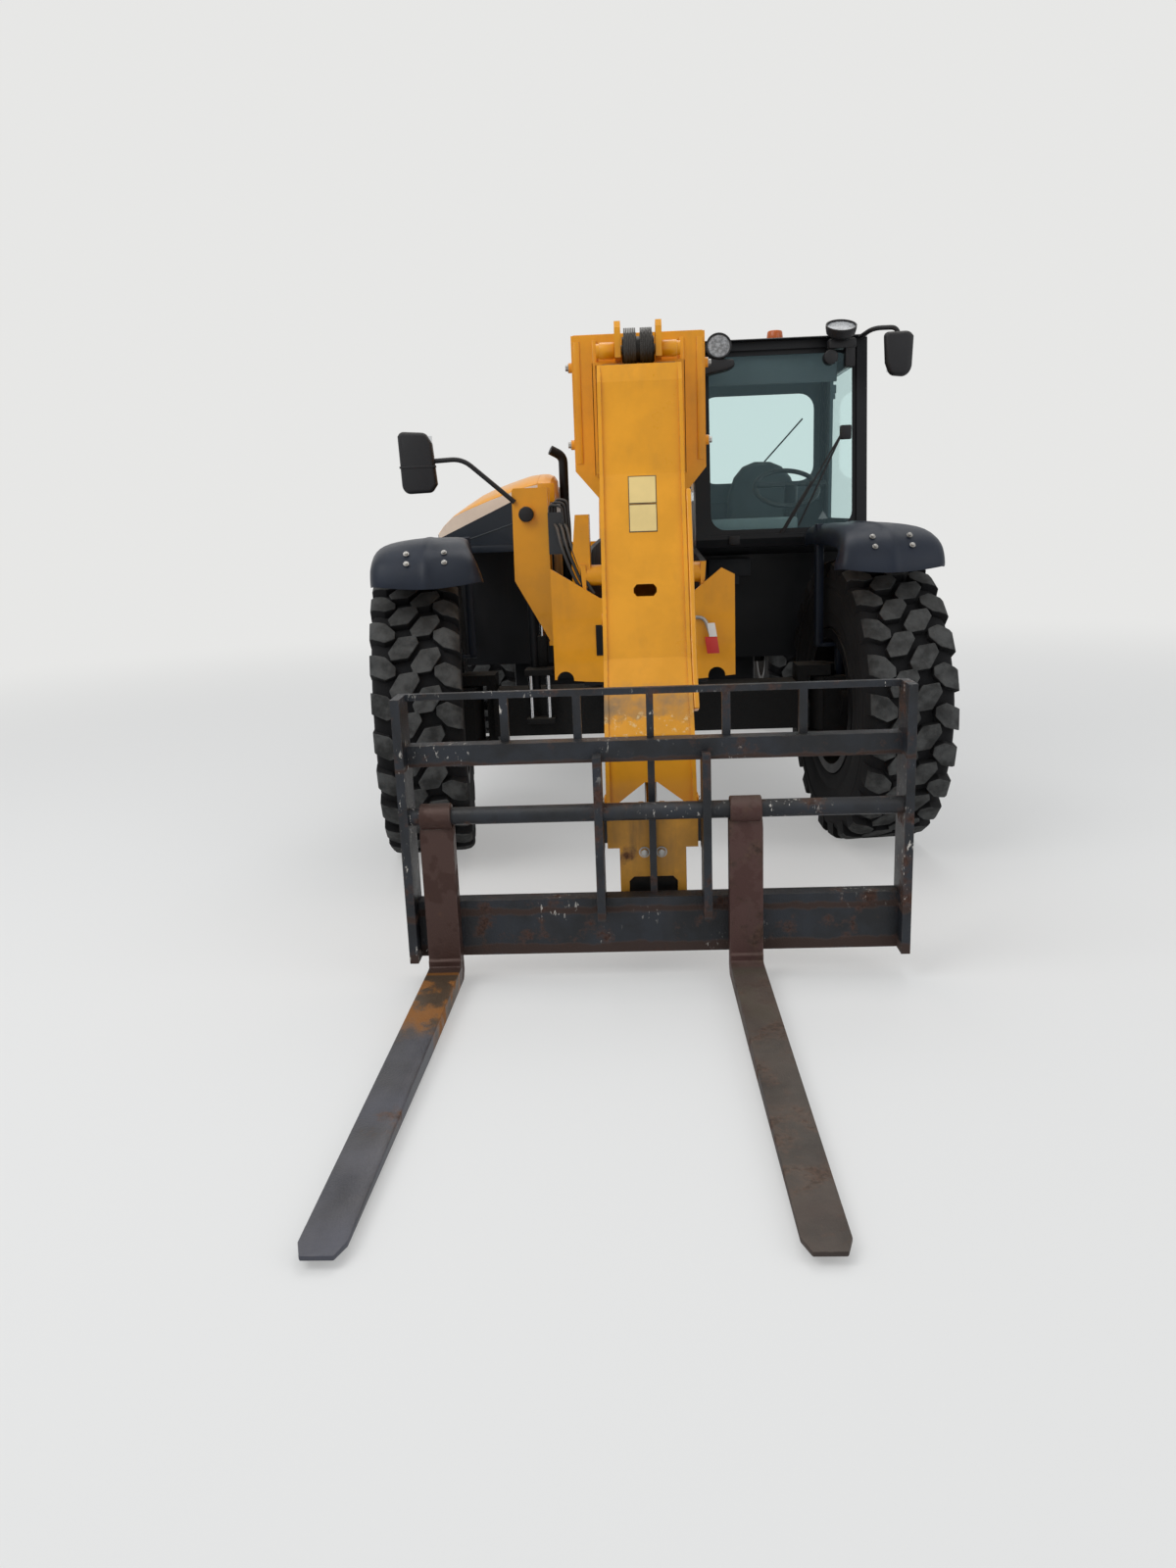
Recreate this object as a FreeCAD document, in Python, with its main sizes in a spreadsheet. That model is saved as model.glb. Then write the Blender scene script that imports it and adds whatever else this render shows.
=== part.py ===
"""Telescopic handler with pallet forks, built as an assembly of named pieces.

Lengths are in millimetres and angles in degrees.  A size in quotes follows others.  The ground is z 0, the
front of the machine looks along -y and its left side is +x.
"""
import FreeCAD, Part
import os
import re
from collections import namedtuple

import Sketcher

V = FreeCAD.Vector
doc = FreeCAD.newDocument("Telehandler")
os.makedirs("parts", exist_ok=True)

# Sizes and places
SIZES = {
    # Running gear
    "front_axle_y": -420,
    "rear_axle_y": 2530,
    "tyre_r": 665,
    "tyre_half": 195,
    "carcass_r": "=tyre_r * 0.941",
    "bead_r": 316.4,
    "wheel_x": 1057,
    "kingpin_x": 847,
    "steer_rest": 7,
    "lug_count": 16,
    "lug_foot": "=tyre_r * 0.896",
    "rim_r": 316,
    "flange_r": 345,
    "rim_half": 185,
    "disc_x": 10,
    "hub_r": 125,
    "hub_out": 135,
    "arm_y": 165,
    "fender_top": "=tyre_r * 2.256",
    "fender_lip": "=tyre_r * 1.932",
    "fender_half": 245,
    # Frame
    "boom_x": 0,
    "frame_half": 275,
    "frame_plate": 25,
    "frame_front": -780,
    "frame_rear": 3500,
    "frame_low": "=tyre_r * 0.782",
    "frame_arch": "=tyre_r * 1.248",
    "frame_top": 1360,
    "upright_top": 2080,
    "tail_y": 3680,
    "tow_z": 780,
    "tow_r": 18,
    "apron_front": -794.3,
    "apron_low": "=frame_arch + 20",
    "apron_top": 1350,
    # Boom
    "boom_z": 1950,
    "pivot_y": 3330,
    "pivot_z": 1900,
    "pivot_r": 45,
    "outer_half": 215,
    "outer_tall": 255,
    "middle_half": 182,
    "middle_tall": 215,
    "inner_half": 146,
    "inner_tall": 175,
    "boom_wall": 10,
    "outer_front": -940,
    "outer_rear": 3080,
    "collar_half": 270,
    "collar_low": 1620,
    "collar_top": 2278,
    "collar_rear": -790,
    "middle_front": -1010,
    "middle_rear": 2950,
    "inner_front": -1235,
    "inner_rear": 2850,
    "nose_half": 161,
    "nose_plate": 15,
    # Rams
    "lift_base_y": 3080,
    "lift_base_z": 950,
    "lift_eye_y": 1780,
    "lift_eye_z": 1540,
    "lift_barrel_r": 75,
    "lift_rod_r": 45,
    "tilt_base_y": -1420,
    "tilt_base_z": 1180,
    "tilt_eye_y": -1796,
    "tilt_eye_z": 425,
    "tilt_barrel_r": 44,
    "tilt_rod_r": 22,
    "tilt_y": -1870,
    "tilt_z": 520,
    "tilt_pin_r": 35,
    # Carriage and forks
    "hitch_back": -1990,
    "hitch_front": -2010,
    "carriage_left": -850,
    "carriage_right": 860,
    "rail_back": -2035,
    "rail_front": -2099.5,
    "shaft_y": -2130,
    "shaft_z": 605,
    "shaft_r": 30,
    "fork_left": -730,
    "fork_right": 310,
    "fork_half": 60,
    "fork_back": -2100,
    "fork_face": -2160,
    "fork_tip": -3680,
    "fork_low": 36,
    "fork_top": 96,
    "fork_high": 560,
    # Cab
    "cab_in": 275,
    "cab_out": 1120,
    "cab_wall": 40,
    "cab_low": 780,
    "cab_front": 0,
    "cab_rear": 1150,
    "cab_sill": 1385,
    "cab_eave": 2360,
    "roof_top": "=cab_eave * 1.019",
    "seat_gap": 0.3,
    "run_gap": 0.4,
    # Engine side
    "pod_out": -1020,
    "pod_in": -470,
    "pod_low": 780,
    "pod_top": 1440,
    "pod_front": 430,
    "pod_rear": 1710,
    "hood_front": 60,
    "hood_out": -1030,
    "hood_in": -460,
    "hood_low": 1440.3,
    "hood_top": 1730,
    "tower_y": -560,
}
sheet = doc.addObject("Spreadsheet::Sheet", "Size")
for row, (name, value) in enumerate(SIZES.items(), start=1):
    sheet.set(f"A{row}", name)
    sheet.set(f"B{row}", str(value))
    sheet.setAlias(f"B{row}", name)
doc.recompute()

WORD = re.compile(r"[a-z][a-z0-9_]*")


def bind(obj, prop, text):
    """Drive one property of an object by a formula of sheet names."""
    text = WORD.sub(lambda m: f"Size.{m[0]}" if m[0] in SIZES else m[0], str(text))
    obj.setExpression(prop, text)


def put(obj, x=0, y=0, z=0):
    """Drive the place of an object by three formulas."""
    for axis, text in zip("xyz", (x, y, z)):
        bind(obj, f"Placement.Base.{axis}", text)
    return obj


def box(name, x, y, z):
    """A block between two places on each axis."""
    obj = doc.addObject("Part::Box", name)
    for prop, (low, high) in zip(("Length", "Width", "Height"), (x, y, z)):
        bind(obj, prop, f"({high}) - ({low})")
    return put(obj, x[0], y[0], z[0])


def rod(name, radius, axis, span, u, v):
    """A round bar along x, y or z; u and v are its other two places."""
    obj = doc.addObject("Part::Cylinder", name)
    bind(obj, "Radius", radius)
    bind(obj, "Height", f"({span[1]}) - ({span[0]})")
    if axis == "x":
        obj.Placement.Rotation = FreeCAD.Rotation(V(0, 1, 0), 90)
        return put(obj, span[0], u, v)
    if axis == "y":
        obj.Placement.Rotation = FreeCAD.Rotation(V(1, 0, 0), -90)
        return put(obj, u, span[0], v)
    return put(obj, u, v, span[0])


def bar(name, radius, x, start, end, near=0, far=0):
    """A round bar in a side plane, from near past its start to far past its end."""
    obj = doc.addObject("Part::Cylinder", name)
    dy = f"(({end[0]}) - ({start[0]}))"
    dz = f"(({end[1]}) - ({start[1]}))"
    length = f"hypot({dy}; {dz})"
    bind(obj, "Radius", radius)
    bind(obj, "Height", f"{length} + ({far}) - ({near})")
    obj.Placement.Rotation = FreeCAD.Rotation(V(1, 0, 0), 10)
    bind(obj, "Placement.Rotation.Angle", f"atan2(-{dy}; {dz})")
    put(obj, x, f"{start[0]} + ({near}) * {dy} / {length}", f"{start[1]} + ({near}) * {dz} / {length}")
    return obj


def outline(body, name, plane, points):
    """A closed sketch on one origin plane, with each corner driven by formulas."""
    sketch = body.newObject("Sketcher::SketchObject", name)
    face = [f for f in body.Origin.OriginFeatures if f.Role == plane][0]
    sketch.AttachmentSupport = [(face, "")]
    sketch.MapMode = "FlatFace"
    count = len(points)
    ring = []
    for i in range(count):
        turn = FreeCAD.Rotation(V(0, 0, 1), 360 * i / count)
        ring.append(turn.multVec(V(500, 0, 0)))
    sketch.addGeometry([Part.LineSegment(ring[i], ring[(i + 1) % count]) for i in range(count)], False)
    rules = [Sketcher.Constraint("Coincident", i, 2, (i + 1) % count, 1) for i in range(count)]
    for i in range(count):
        rules.append(Sketcher.Constraint("DistanceX", -1, 1, i, 1, ring[i].x))
        rules.append(Sketcher.Constraint("DistanceY", -1, 1, i, 1, ring[i].y))
    sketch.addConstraint(rules)
    for i, (u, v) in enumerate(points):
        bind(sketch, f"Constraints[{count + 2 * i}]", u)
        bind(sketch, f"Constraints[{count + 2 * i + 1}]", v)
    return sketch


def prism(name, plane, points, span):
    """A body padded from a many-cornered outline.

    The plane names the outline's axes: "YZ" is a side view padded along x,
    "XZ" a front view padded along y and "XY" a top view padded along z.
    """
    body = doc.addObject("PartDesign::Body", name)
    sketch = outline(body, name + "_outline", plane + "_Plane", points)
    pad = body.newObject("PartDesign::Pad", name + "_pad")
    pad.Profile = sketch
    bind(pad, "Length", f"({span[1]}) - ({span[0]})")
    if plane == "YZ":
        return put(body, x=span[0])
    if plane == "XZ":
        return put(body, y=span[1])
    return put(body, z=span[0])


def turned(name, points):
    """A body turned about the x axis from an outline of places and radii."""
    body = doc.addObject("PartDesign::Body", name)
    sketch = outline(body, name + "_outline", "XY_Plane", points)
    spin = body.newObject("PartDesign::Revolution", name + "_turn")
    spin.Profile = sketch
    spin.ReferenceAxis = (sketch, ["H_Axis"])
    spin.Angle = 360
    return body


def fuse(name, shapes):
    """One solid of several that overlap."""
    obj = doc.addObject("Part::MultiFuse", name)
    obj.Shapes = shapes
    return obj


def gather(name, shapes):
    """Several solids that belong to one piece."""
    obj = doc.addObject("Part::Compound", name)
    obj.Links = shapes
    return obj


def cut(name, base, tools):
    """A shape with others taken out of it."""
    obj = doc.addObject("Part::Cut", name)
    obj.Base = base
    obj.Tool = tools[0] if len(tools) == 1 else gather(name + "_tools", tools)
    return obj


def mirror_x(name, source):
    """The same shape on the other side of the machine."""
    obj = doc.addObject("Part::Mirroring", name)
    obj.Source = source
    obj.Normal = V(1, 0, 0)
    return obj


def twin(name, source):
    """A second solid of the same shape, with a place of its own."""
    return gather(name, [source])


Side = namedtuple("Side", "name sign")
SIDES = (Side("left", 1), Side("right", -1))
End = namedtuple("End", "name axle_y steer back")
ENDS = (End("front", "front_axle_y", "steer_rest", 1), End("rear", "rear_axle_y", "0", -1))

# Tyre and rim, both drawn about the middle of the wheel.  The carcass has a flat under each lug
FLATS = 2 * SIZES["lug_count"]


def upright(name, sides, radius, span):
    """A bar with flat sides that stands on the ground plane."""
    obj = doc.addObject("Part::Prism", name)
    obj.Polygon = sides
    bind(obj, "Circumradius", radius)
    bind(obj, "Height", f"({span[1]}) - ({span[0]})")
    return obj


def lay(obj, sides, x, y="0", z="0"):
    """Lay a bar with flat sides along x, with one of its flats on top."""
    obj.Placement.Rotation = FreeCAD.Rotation(V(1, 0, 0), 180 / sides) * FreeCAD.Rotation(V(0, 1, 0), 90)
    return put(obj, x, y, z)


def flats(name, sides, radius, span, y="0", z="0"):
    """A bar with flat sides along x, between two places."""
    return lay(upright(name, sides, radius, span), sides, span[0], y, z)


shoulder = doc.addObject("PartDesign::Body", "carcass_form")
shoulder.BaseFeature = upright("carcass_full", FLATS, "carcass_r", ("-tyre_half", "tyre_half"))
lay(shoulder, FLATS, "-tyre_half")
doc.recompute()
slope = shoulder.newObject("PartDesign::Chamfer", "carcass_shoulder")
slope.Base = (shoulder.Group[0], [f"Face{FLATS + 1}", f"Face{FLATS + 2}"])
slope.ChamferType = "Two distances"
slope.Size = 44
bind(slope, "Size2", "carcass_r - lug_foot")
carcass = cut("carcass", shoulder, [
    flats("bead_bore", FLATS, "bead_r / cos(90deg / lug_count)", ("-300", "300")),
    flats("flange_seat_out", FLATS, "flange_r + 5", ("rim_half - 22", "300")),
    flats("flange_seat_in", FLATS, "flange_r + 5", ("-300", "22 - rim_half")),
])
tyre = doc.addObject("PartDesign::Body", "tyre_form")
tyre.BaseFeature = carcass
Row = namedtuple("Row", "name shift corners")
LUG_ROWS = (
    Row("outer", "0", [("112", "-34"), ("tyre_half - 1", "-60"), ("tyre_half - 1", "58"), ("112", "38")]),
    Row("mid_outer", "180 / lug_count", [("8", "-60"), ("100", "-40"), ("100", "60"), ("8", "40")]),
    Row("mid_inner", "0", [("-100", "-60"), ("-8", "-40"), ("-8", "60"), ("-100", "40")]),
    Row("inner", "180 / lug_count", [("-112", "38"), ("-tyre_half + 1", "58"), ("-tyre_half + 1", "-60"), ("-112", "-34")]),
)
for row in LUG_ROWS:
    sketch = outline(tyre, f"lug_{row.name}", "XY_Plane", row.corners)
    sketch.AttachmentOffset = FreeCAD.Placement(V(0, 0, 600), FreeCAD.Rotation(V(1, 0, 0), 5))
    bind(sketch, "AttachmentOffset.Rotation.Angle", row.shift)
    bind(sketch, "AttachmentOffset.Base.y", f"-lug_foot * sin(({row.shift}) * 1deg)")
    bind(sketch, "AttachmentOffset.Base.z", f"lug_foot * cos(({row.shift}) * 1deg)")
    pad = tyre.newObject("PartDesign::Pad", f"lug_{row.name}_pad")
    pad.Profile = sketch
    bind(pad, "Length", "tyre_r - lug_foot")
    ring = tyre.newObject("PartDesign::PolarPattern", f"lug_{row.name}_ring")
    ring.Originals = [pad]
    ring.Axis = ([f for f in tyre.Origin.OriginFeatures if f.Role == "X_Axis"][0], [""])
    ring.Angle = 360
    bind(ring, "Occurrences", "lug_count")
    tyre.Tip = ring
rim = turned("rim_form", [
    ("-rim_half", "rim_r - 14"), ("-rim_half", "flange_r"), ("20 - rim_half", "flange_r"), ("20 - rim_half", "rim_r"),
    ("rim_half - 20", "rim_r"), ("rim_half - 20", "flange_r"), ("rim_half", "flange_r"), ("rim_half", "rim_r - 14"),
    ("disc_x + 60", "rim_r - 80"), ("disc_x + 18", "hub_r + 40"), ("hub_out", "hub_r - 20"),
    ("hub_out", "0"), ("disc_x", "0"), ("disc_x", "hub_r + 40"), ("disc_x + 44", "rim_r - 80"),
    ("120", "rim_r - 14"),
])

# Wheels, knuckles, axles and steering rods
wheel_nodes = []
for end in ENDS:
    for side in SIDES:
        tag = f"{end.name}_{side.name}"
        for kind, form in (("tyre", tyre), ("rim", rim)):
            wheel = twin(f"{kind}_{tag}", form)
            wheel.Placement.Rotation = FreeCAD.Rotation(V(0, 0, 1), 15)
            turn = "0" if side.sign > 0 else "180"
            bind(wheel, "Placement.Rotation.Angle", f"{turn} + {end.steer}")
            reach = f"{side.sign} * (wheel_x - kingpin_x)"
            put(wheel, f"{side.sign} * kingpin_x + {reach} * cos({end.steer} * 1deg)",
                f"{end.axle_y} + {reach} * sin({end.steer} * 1deg)", "tyre_r")
            wheel_nodes.append(wheel)

# A left knuckle about its own kingpin, with the steering arm towards the rear
knuckle_form = fuse("knuckle_form", [
    box("knuckle_block", ("-20", "90"), ("-85", "85"), ("-128", "128")),
    rod("knuckle_barrel", "66", "z", ("-128", "128"), "0", "0"),
    rod("knuckle_trunnion", "40", "z", ("run_gap - 136", "136 - run_gap"), "0", "0"),
    rod("knuckle_spindle", "105", "x", ("60", "wheel_x - kingpin_x + disc_x - run_gap"), "0", "0"),
    box("knuckle_arm_low", ("-25", "25"), ("60", "arm_y + 40"), ("-52", "-32")),
    box("knuckle_arm_top", ("-25", "25"), ("60", "arm_y + 40"), ("32", "52")),
])
knuckle_rear = doc.addObject("Part::Mirroring", "knuckle_rear_form")
knuckle_rear.Source = knuckle_form
knuckle_rear.Normal = V(0, 1, 0)
knuckle_nodes = []
for end in ENDS:
    near = knuckle_form if end.back > 0 else knuckle_rear
    far = mirror_x(f"knuckle_{end.name}_far", near)
    for side in SIDES:
        knuckle = twin(f"knuckle_{end.name}_{side.name}", near if side.sign > 0 else far)
        knuckle.Placement.Rotation = FreeCAD.Rotation(V(0, 0, 1), 15)
        bind(knuckle, "Placement.Rotation.Angle", end.steer)
        put(knuckle, f"{side.sign} * kingpin_x", end.axle_y, "tyre_r")
        knuckle_nodes.append(knuckle)

# Fenders turn with the front knuckles; drawn about the kingpin at ground level
FENDER = [
    ("-tyre_r * 0.842", "fender_lip"), ("-tyre_r * 0.707", "fender_top - 60"), ("-tyre_r * 0.496", "fender_top"),
    ("140", "fender_top"), ("220", "fender_top - 35"), ("220", "fender_top - 50"), ("140", "fender_top - 16"),
    ("-tyre_r * 0.496 + 8", "fender_top - 16"), ("-tyre_r * 0.707 + 12", "fender_top - 72"),
    ("-tyre_r * 0.842 + 16", "fender_lip"),
]
FENDER_SIDE = [
    ("-tyre_r * 0.842 + 8", "fender_lip + 2"), ("-tyre_r * 0.707 + 6", "fender_top - 66"),
    ("-tyre_r * 0.496 + 4", "fender_top - 8"), ("140", "fender_top - 8"), ("212", "fender_top - 42"),
    ("212", "fender_top - 90"), ("130", "fender_top - 75"), ("-tyre_r * 0.496 + 40", "fender_top - 75"),
    ("-tyre_r * 0.707 + 60", "fender_top - 110"), ("-tyre_r * 0.842 + 70", "fender_lip + 2"),
]
middle = "wheel_x - kingpin_x - 70"
fender_form = fuse("fender_form", [
    prism("fender_skin", "YZ", FENDER, (f"{middle} - fender_half", f"{middle} + fender_half")),
    prism("fender_side_in", "YZ", FENDER_SIDE, (f"{middle} - fender_half", f"{middle} - fender_half + 10")),
    prism("fender_side_out", "YZ", FENDER_SIDE, (f"{middle} + fender_half - 10", f"{middle} + fender_half")),
    box("fender_foot", ("55", "85"), ("-20", "20"), ("tyre_r + 128 + seat_gap", "tyre_r + 280")),
    box("fender_reach", ("-45", "85"), ("-20", "20"), ("tyre_r + 262", "tyre_r + 280")),
    box("fender_stay", ("-45", "-10"), ("-20", "20"), ("tyre_r + 262", "fender_top - 10")),
])
fender_far = mirror_x("fender_far", fender_form)
for side in SIDES:
    fender = twin(f"fender_{side.name}", fender_form if side.sign > 0 else fender_far)
    fender.Placement.Rotation = FreeCAD.Rotation(V(0, 0, 1), 15)
    bind(fender, "Placement.Rotation.Angle", "steer_rest")
    put(fender, f"{side.sign} * kingpin_x", "front_axle_y", "0")

for end in ENDS:
    y = end.axle_y
    pieces = [
        box(f"{end.name}_beam", ("-kingpin_x + 125", "kingpin_x - 125"), (f"{y} - 105", f"{y} + 105"),
            ("tyre_r - 105", "tyre_r + 105")),
        rod(f"{end.name}_pumpkin", "190", "x", ("-120", "120"), y, "tyre_r"),
    ]
    for side in SIDES:
        x = f"{side.sign} * kingpin_x"
        low, high = ("- 135", "+ 20") if side.sign > 0 else ("- 20", "+ 135")
        tag = f"{end.name}_{side.name}_yoke"
        for name, z in (("low", ("-185", "-136")), ("high", ("136", "185"))):
            pieces.append(box(f"{tag}_{name}", (f"{x} {low}", f"{x} {high}"), (f"{y} - 75", f"{y} + 75"),
                              (f"tyre_r + {z[0]}", f"tyre_r + {z[1]}")))
            pieces.append(rod(f"{tag}_{name}_cap", "50", "z", (f"tyre_r + {z[0]}", f"tyre_r + {z[1]}"), x, y))
        web = (f"{x} - 135", f"{x} - 92") if side.sign > 0 else (f"{x} + 92", f"{x} + 135")
        pieces.append(box(f"{tag}_web", web, (f"{y} - 75", f"{y} + 75"), ("tyre_r - 185", "tyre_r + 185")))
    pieces.append(rod(f"{end.name}_steer_case", "45", "x", ("-260", "260"), f"{y} + {end.back} * (arm_y + 60)", "tyre_r"))
    pieces.append(box(f"{end.name}_steer_foot", ("-200", "200"),
                      (f"{y} + {80 if end.back > 0 else -240}", f"{y} + {240 if end.back > 0 else -80}"),
                      ("tyre_r - 30", "tyre_r + 30")))
    axle = fuse(f"{end.name}_axle_solid", pieces)
    axle = cut(f"{end.name}_axle", axle, [
        rod(f"{end.name}_steer_bore", "25.05", "x", ("-300", "300"), f"{y} + {end.back} * (arm_y + 60)", "tyre_r")])
    slide = f"{end.back} * arm_y * sin({end.steer} * 1deg)"
    fuse(f"{end.name}_steer_rod", [
        rod(f"{end.name}_rod_bar", "25", "x", (f"-600 - {slide}", f"600 - {slide}"),
            f"{y} + {end.back} * (arm_y + 60)", "tyre_r"),
        box(f"{end.name}_rod_left", (f"550 - {slide}", f"kingpin_x - 10 - {slide}"),
            (f"{y} + {end.back} * (arm_y + 42.5) - 42.5", f"{y} + {end.back} * (arm_y + 42.5) + 42.5"),
            ("tyre_r - 22", "tyre_r + 22")),
        box(f"{end.name}_rod_right", (f"-kingpin_x + 10 - {slide}", f"-550 - {slide}"),
            (f"{y} + {end.back} * (arm_y + 42.5) - 42.5", f"{y} + {end.back} * (arm_y + 42.5) + 42.5"),
            ("tyre_r - 22", "tyre_r + 22")),
    ])

# Frame: two full-length plates with the boom between them
PLATE = [
    ("frame_front", "frame_arch"), ("frame_front", "frame_top"), ("250", "frame_top + 40"),
    ("2250", "frame_top + 40"), ("2850", "upright_top"), ("frame_rear", "upright_top"),
    ("frame_rear", "frame_arch"), ("2150", "frame_arch"), ("2050", "frame_low"), ("0", "frame_low"),
    ("-100", "frame_arch"),
]
inside = ("boom_x - frame_half", "boom_x + frame_half")
frame_parts = [
    prism("frame_plate_left", "YZ", PLATE, ("boom_x + frame_half - frame_plate", "boom_x + frame_half")),
    prism("frame_plate_right", "YZ", PLATE, ("boom_x - frame_half", "boom_x - frame_half + frame_plate")),
    box("frame_floor", inside, ("0", "2050"), ("frame_low", "frame_low + 20")),
    box("frame_nose", inside, ("frame_front", "frame_front + 180"), ("frame_arch", "frame_arch + 250")),
    box("front_saddle", inside, ("front_axle_y - 90", "front_axle_y + 90"), ("tyre_r + 190", "tyre_r + 260")),
    box("rear_saddle", inside, ("rear_axle_y - 90", "rear_axle_y + 90"), ("tyre_r + 190", "tyre_r + 260")),
    box("ram_beam", inside, ("lift_base_y - 110", "lift_base_y + 110"), ("frame_arch", "lift_base_z - 90")),
    box("ram_cheek_left", ("boom_x + 82", "boom_x + 106"), ("lift_base_y - 70", "lift_base_y + 70"),
        ("frame_arch", "lift_base_z + 60")),
    box("ram_cheek_right", ("boom_x - 106", "boom_x - 82"), ("lift_base_y - 70", "lift_base_y + 70"),
        ("frame_arch", "lift_base_z + 60")),
    rod("ram_pin", "30", "x", ("boom_x - 106", "boom_x + 106"), "lift_base_y", "lift_base_z"),
    rod("boom_pin", "pivot_r", "x", ("boom_x - frame_half - 15", "boom_x + frame_half + 15"), "pivot_y", "pivot_z"),
    rod("front_tube", "45", "x", inside, "frame_front + 45", "frame_top - 47"),
    prism("boom_rest", "XZ", [
        ("boom_x - 305", "frame_top + 65"), ("boom_x - 290", "frame_top + 215"), ("boom_x - 230", "frame_top + 215"),
        ("boom_x - 230", "frame_top - 30"), ("boom_x - 275", "frame_top - 30"),
    ], ("frame_front + 10", "frame_front + 140")),
    box("pod_bracket", ("pod_in", "boom_x - frame_half + 5"), ("700", "1500"), ("900", "960")),
    box("cab_bracket", ("boom_x + frame_half - 5", "cab_in"), ("450", "1650"), ("900", "960")),
]
frame = fuse("chassis_frame", frame_parts)

# Front apron with its wings, and the tower that carries the levelling ram
APRON = [
    ("-405", "apron_top"), ("-190", "apron_top - 135"), ("190", "apron_top - 140"), ("340", "apron_top - 20"),
    ("397", "apron_top - 50"), ("397", "apron_low + 12"), ("260", "apron_low"), ("0", "apron_low - 14"),
    ("-260", "apron_low"), ("-405", "apron_low + 12"),
]
NOTCHES = {"left": "315", "right": "-357"}
apron = cut("front_apron", fuse("apron_solid", [
    prism("apron_face", "XZ", APRON, ("apron_front", "frame_front - seat_gap")),
    box("apron_rib_left", ("boom_x + frame_half + seat_gap", "boom_x + frame_half + 15"),
        ("apron_front", "frame_front + 60"), ("apron_low + 130", "apron_top - 140")),
    box("apron_rib_right", ("boom_x - frame_half - 15", "boom_x - frame_half - seat_gap"),
        ("apron_front", "frame_front + 60"), ("apron_low + 130", "apron_top - 160")),
]), [rod(f"apron_notch_{side}", "38", "y", ("apron_front - 20", "frame_front + 20"), x, "apron_low + 10")
     for side, x in NOTCHES.items()])
near_frame = "boom_x - frame_half - seat_gap"
TOWER = [("-420", "1700"), ("-572", "1700"), ("-580", "1690"), ("-585", "1290"), ("-420", "985"),
         (near_frame, "930"), (near_frame, "1240"), ("-420", "1300")]
tower = fuse("levelling_tower", [
    prism("tower_face", "XZ", TOWER, ("tower_y - 10", "tower_y + 10")),
    prism("tower_back", "XZ", TOWER, ("tower_y + 110", "tower_y + 130")),
    box("tower_floor", ("-440", near_frame), ("tower_y - 10", "tower_y + 130"), ("990", "1010")),
    rod("tower_pin", "28", "y", ("tower_y - 30", "tower_y + 150"), "-517", "1585"),
    rod("tower_boss", "38", "y", ("tower_y - 18", "tower_y - 5"), "-517", "1585"),
])
levelling = fuse("levelling_solid", [
    rod("level_eye", "50", "y", ("tower_y + 25", "tower_y + 95"), "-517", "1585"),
    rod("level_barrel", "45", "z", ("1240", "1550"), "-517", "tower_y + 60"),
    rod("level_rod", "22", "z", ("tyre_r + 105 + seat_gap", "1250"), "-517", "tower_y + 60"),
])
levelling = cut("levelling_ram", levelling, [
    rod("level_bore", "28.5", "y", ("tower_y", "tower_y + 120"), "-517", "1585")])

WEIGHT = [
    ("frame_rear + seat_gap", "700"), ("frame_rear + seat_gap", "1350"), ("tail_y - 110", "1350"),
    ("tail_y - 60", "1200"), ("tail_y - 60", "700"), ("tail_y - 90", "640"), ("frame_rear + 60", "640"),
]
counterweight = cut("counterweight", fuse("weight_solid", [
    prism("weight_block", "YZ", WEIGHT, ("boom_x - 640", "boom_x + 640")),
    box("tow_lug", ("boom_x - 70", "boom_x + 70"), ("tail_y - 120", "tail_y"), ("tow_z - 20", "tow_z + 20")),
]), [rod("tow_hole", "tow_r", "z", ("tow_z - 60", "tow_z + 60"), "boom_x", "tail_y - 30")])

# Boom sections
def tube(name, half, tall, wall, front, rear):
    """A square tube that runs along the boom."""
    x = (f"boom_x - {half}", f"boom_x + {half}")
    z = (f"boom_z - {tall}", f"boom_z + {tall}")
    hole_x = (f"boom_x - {half} + {wall}", f"boom_x + {half} - {wall}")
    hole_z = (f"boom_z - {tall} + {wall}", f"boom_z + {tall} - {wall}")
    return cut(name, box(name + "_full", x, (front, rear), z),
               [box(name + "_hole", hole_x, (f"{front} - 20", f"{rear} + 20"), hole_z)])


outer_tube = tube("outer_tube", "outer_half", "outer_tall", "boom_wall", "collar_rear - 10", "outer_rear")
COLLAR = [
    ("boom_x - collar_half", "collar_top"), ("boom_x - collar_half", "collar_low + 130"),
    ("boom_x - collar_half + 110", "collar_low"), ("boom_x + collar_half - 110", "collar_low"),
    ("boom_x + collar_half", "collar_low + 130"), ("boom_x + collar_half", "collar_top"),
]
collar = cut("collar", prism("collar_block", "XZ", COLLAR, ("outer_front", "collar_rear")), [
    box("collar_hole", ("boom_x - middle_half - 6", "boom_x + middle_half + 6"),
        ("outer_front - 20", "collar_rear + 20"), ("boom_z - middle_tall - 6", "boom_z + middle_tall + 6"))])
EAR = [
    ("outer_rear - 60", "boom_z - outer_tall"), ("outer_rear - 60", "boom_z + outer_tall"),
    ("outer_rear + 120", "boom_z + outer_tall - 60"), ("pivot_y + 110", "pivot_z + 60"),
    ("pivot_y + 110", "pivot_z - 60"), ("pivot_y + 30", "pivot_z - 115"), ("outer_rear + 60", "boom_z - outer_tall"),
]
ear_pieces = [rod("pivot_boss", "80", "x", ("boom_x - outer_half", "boom_x + outer_half"), "pivot_y", "pivot_z")]
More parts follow.
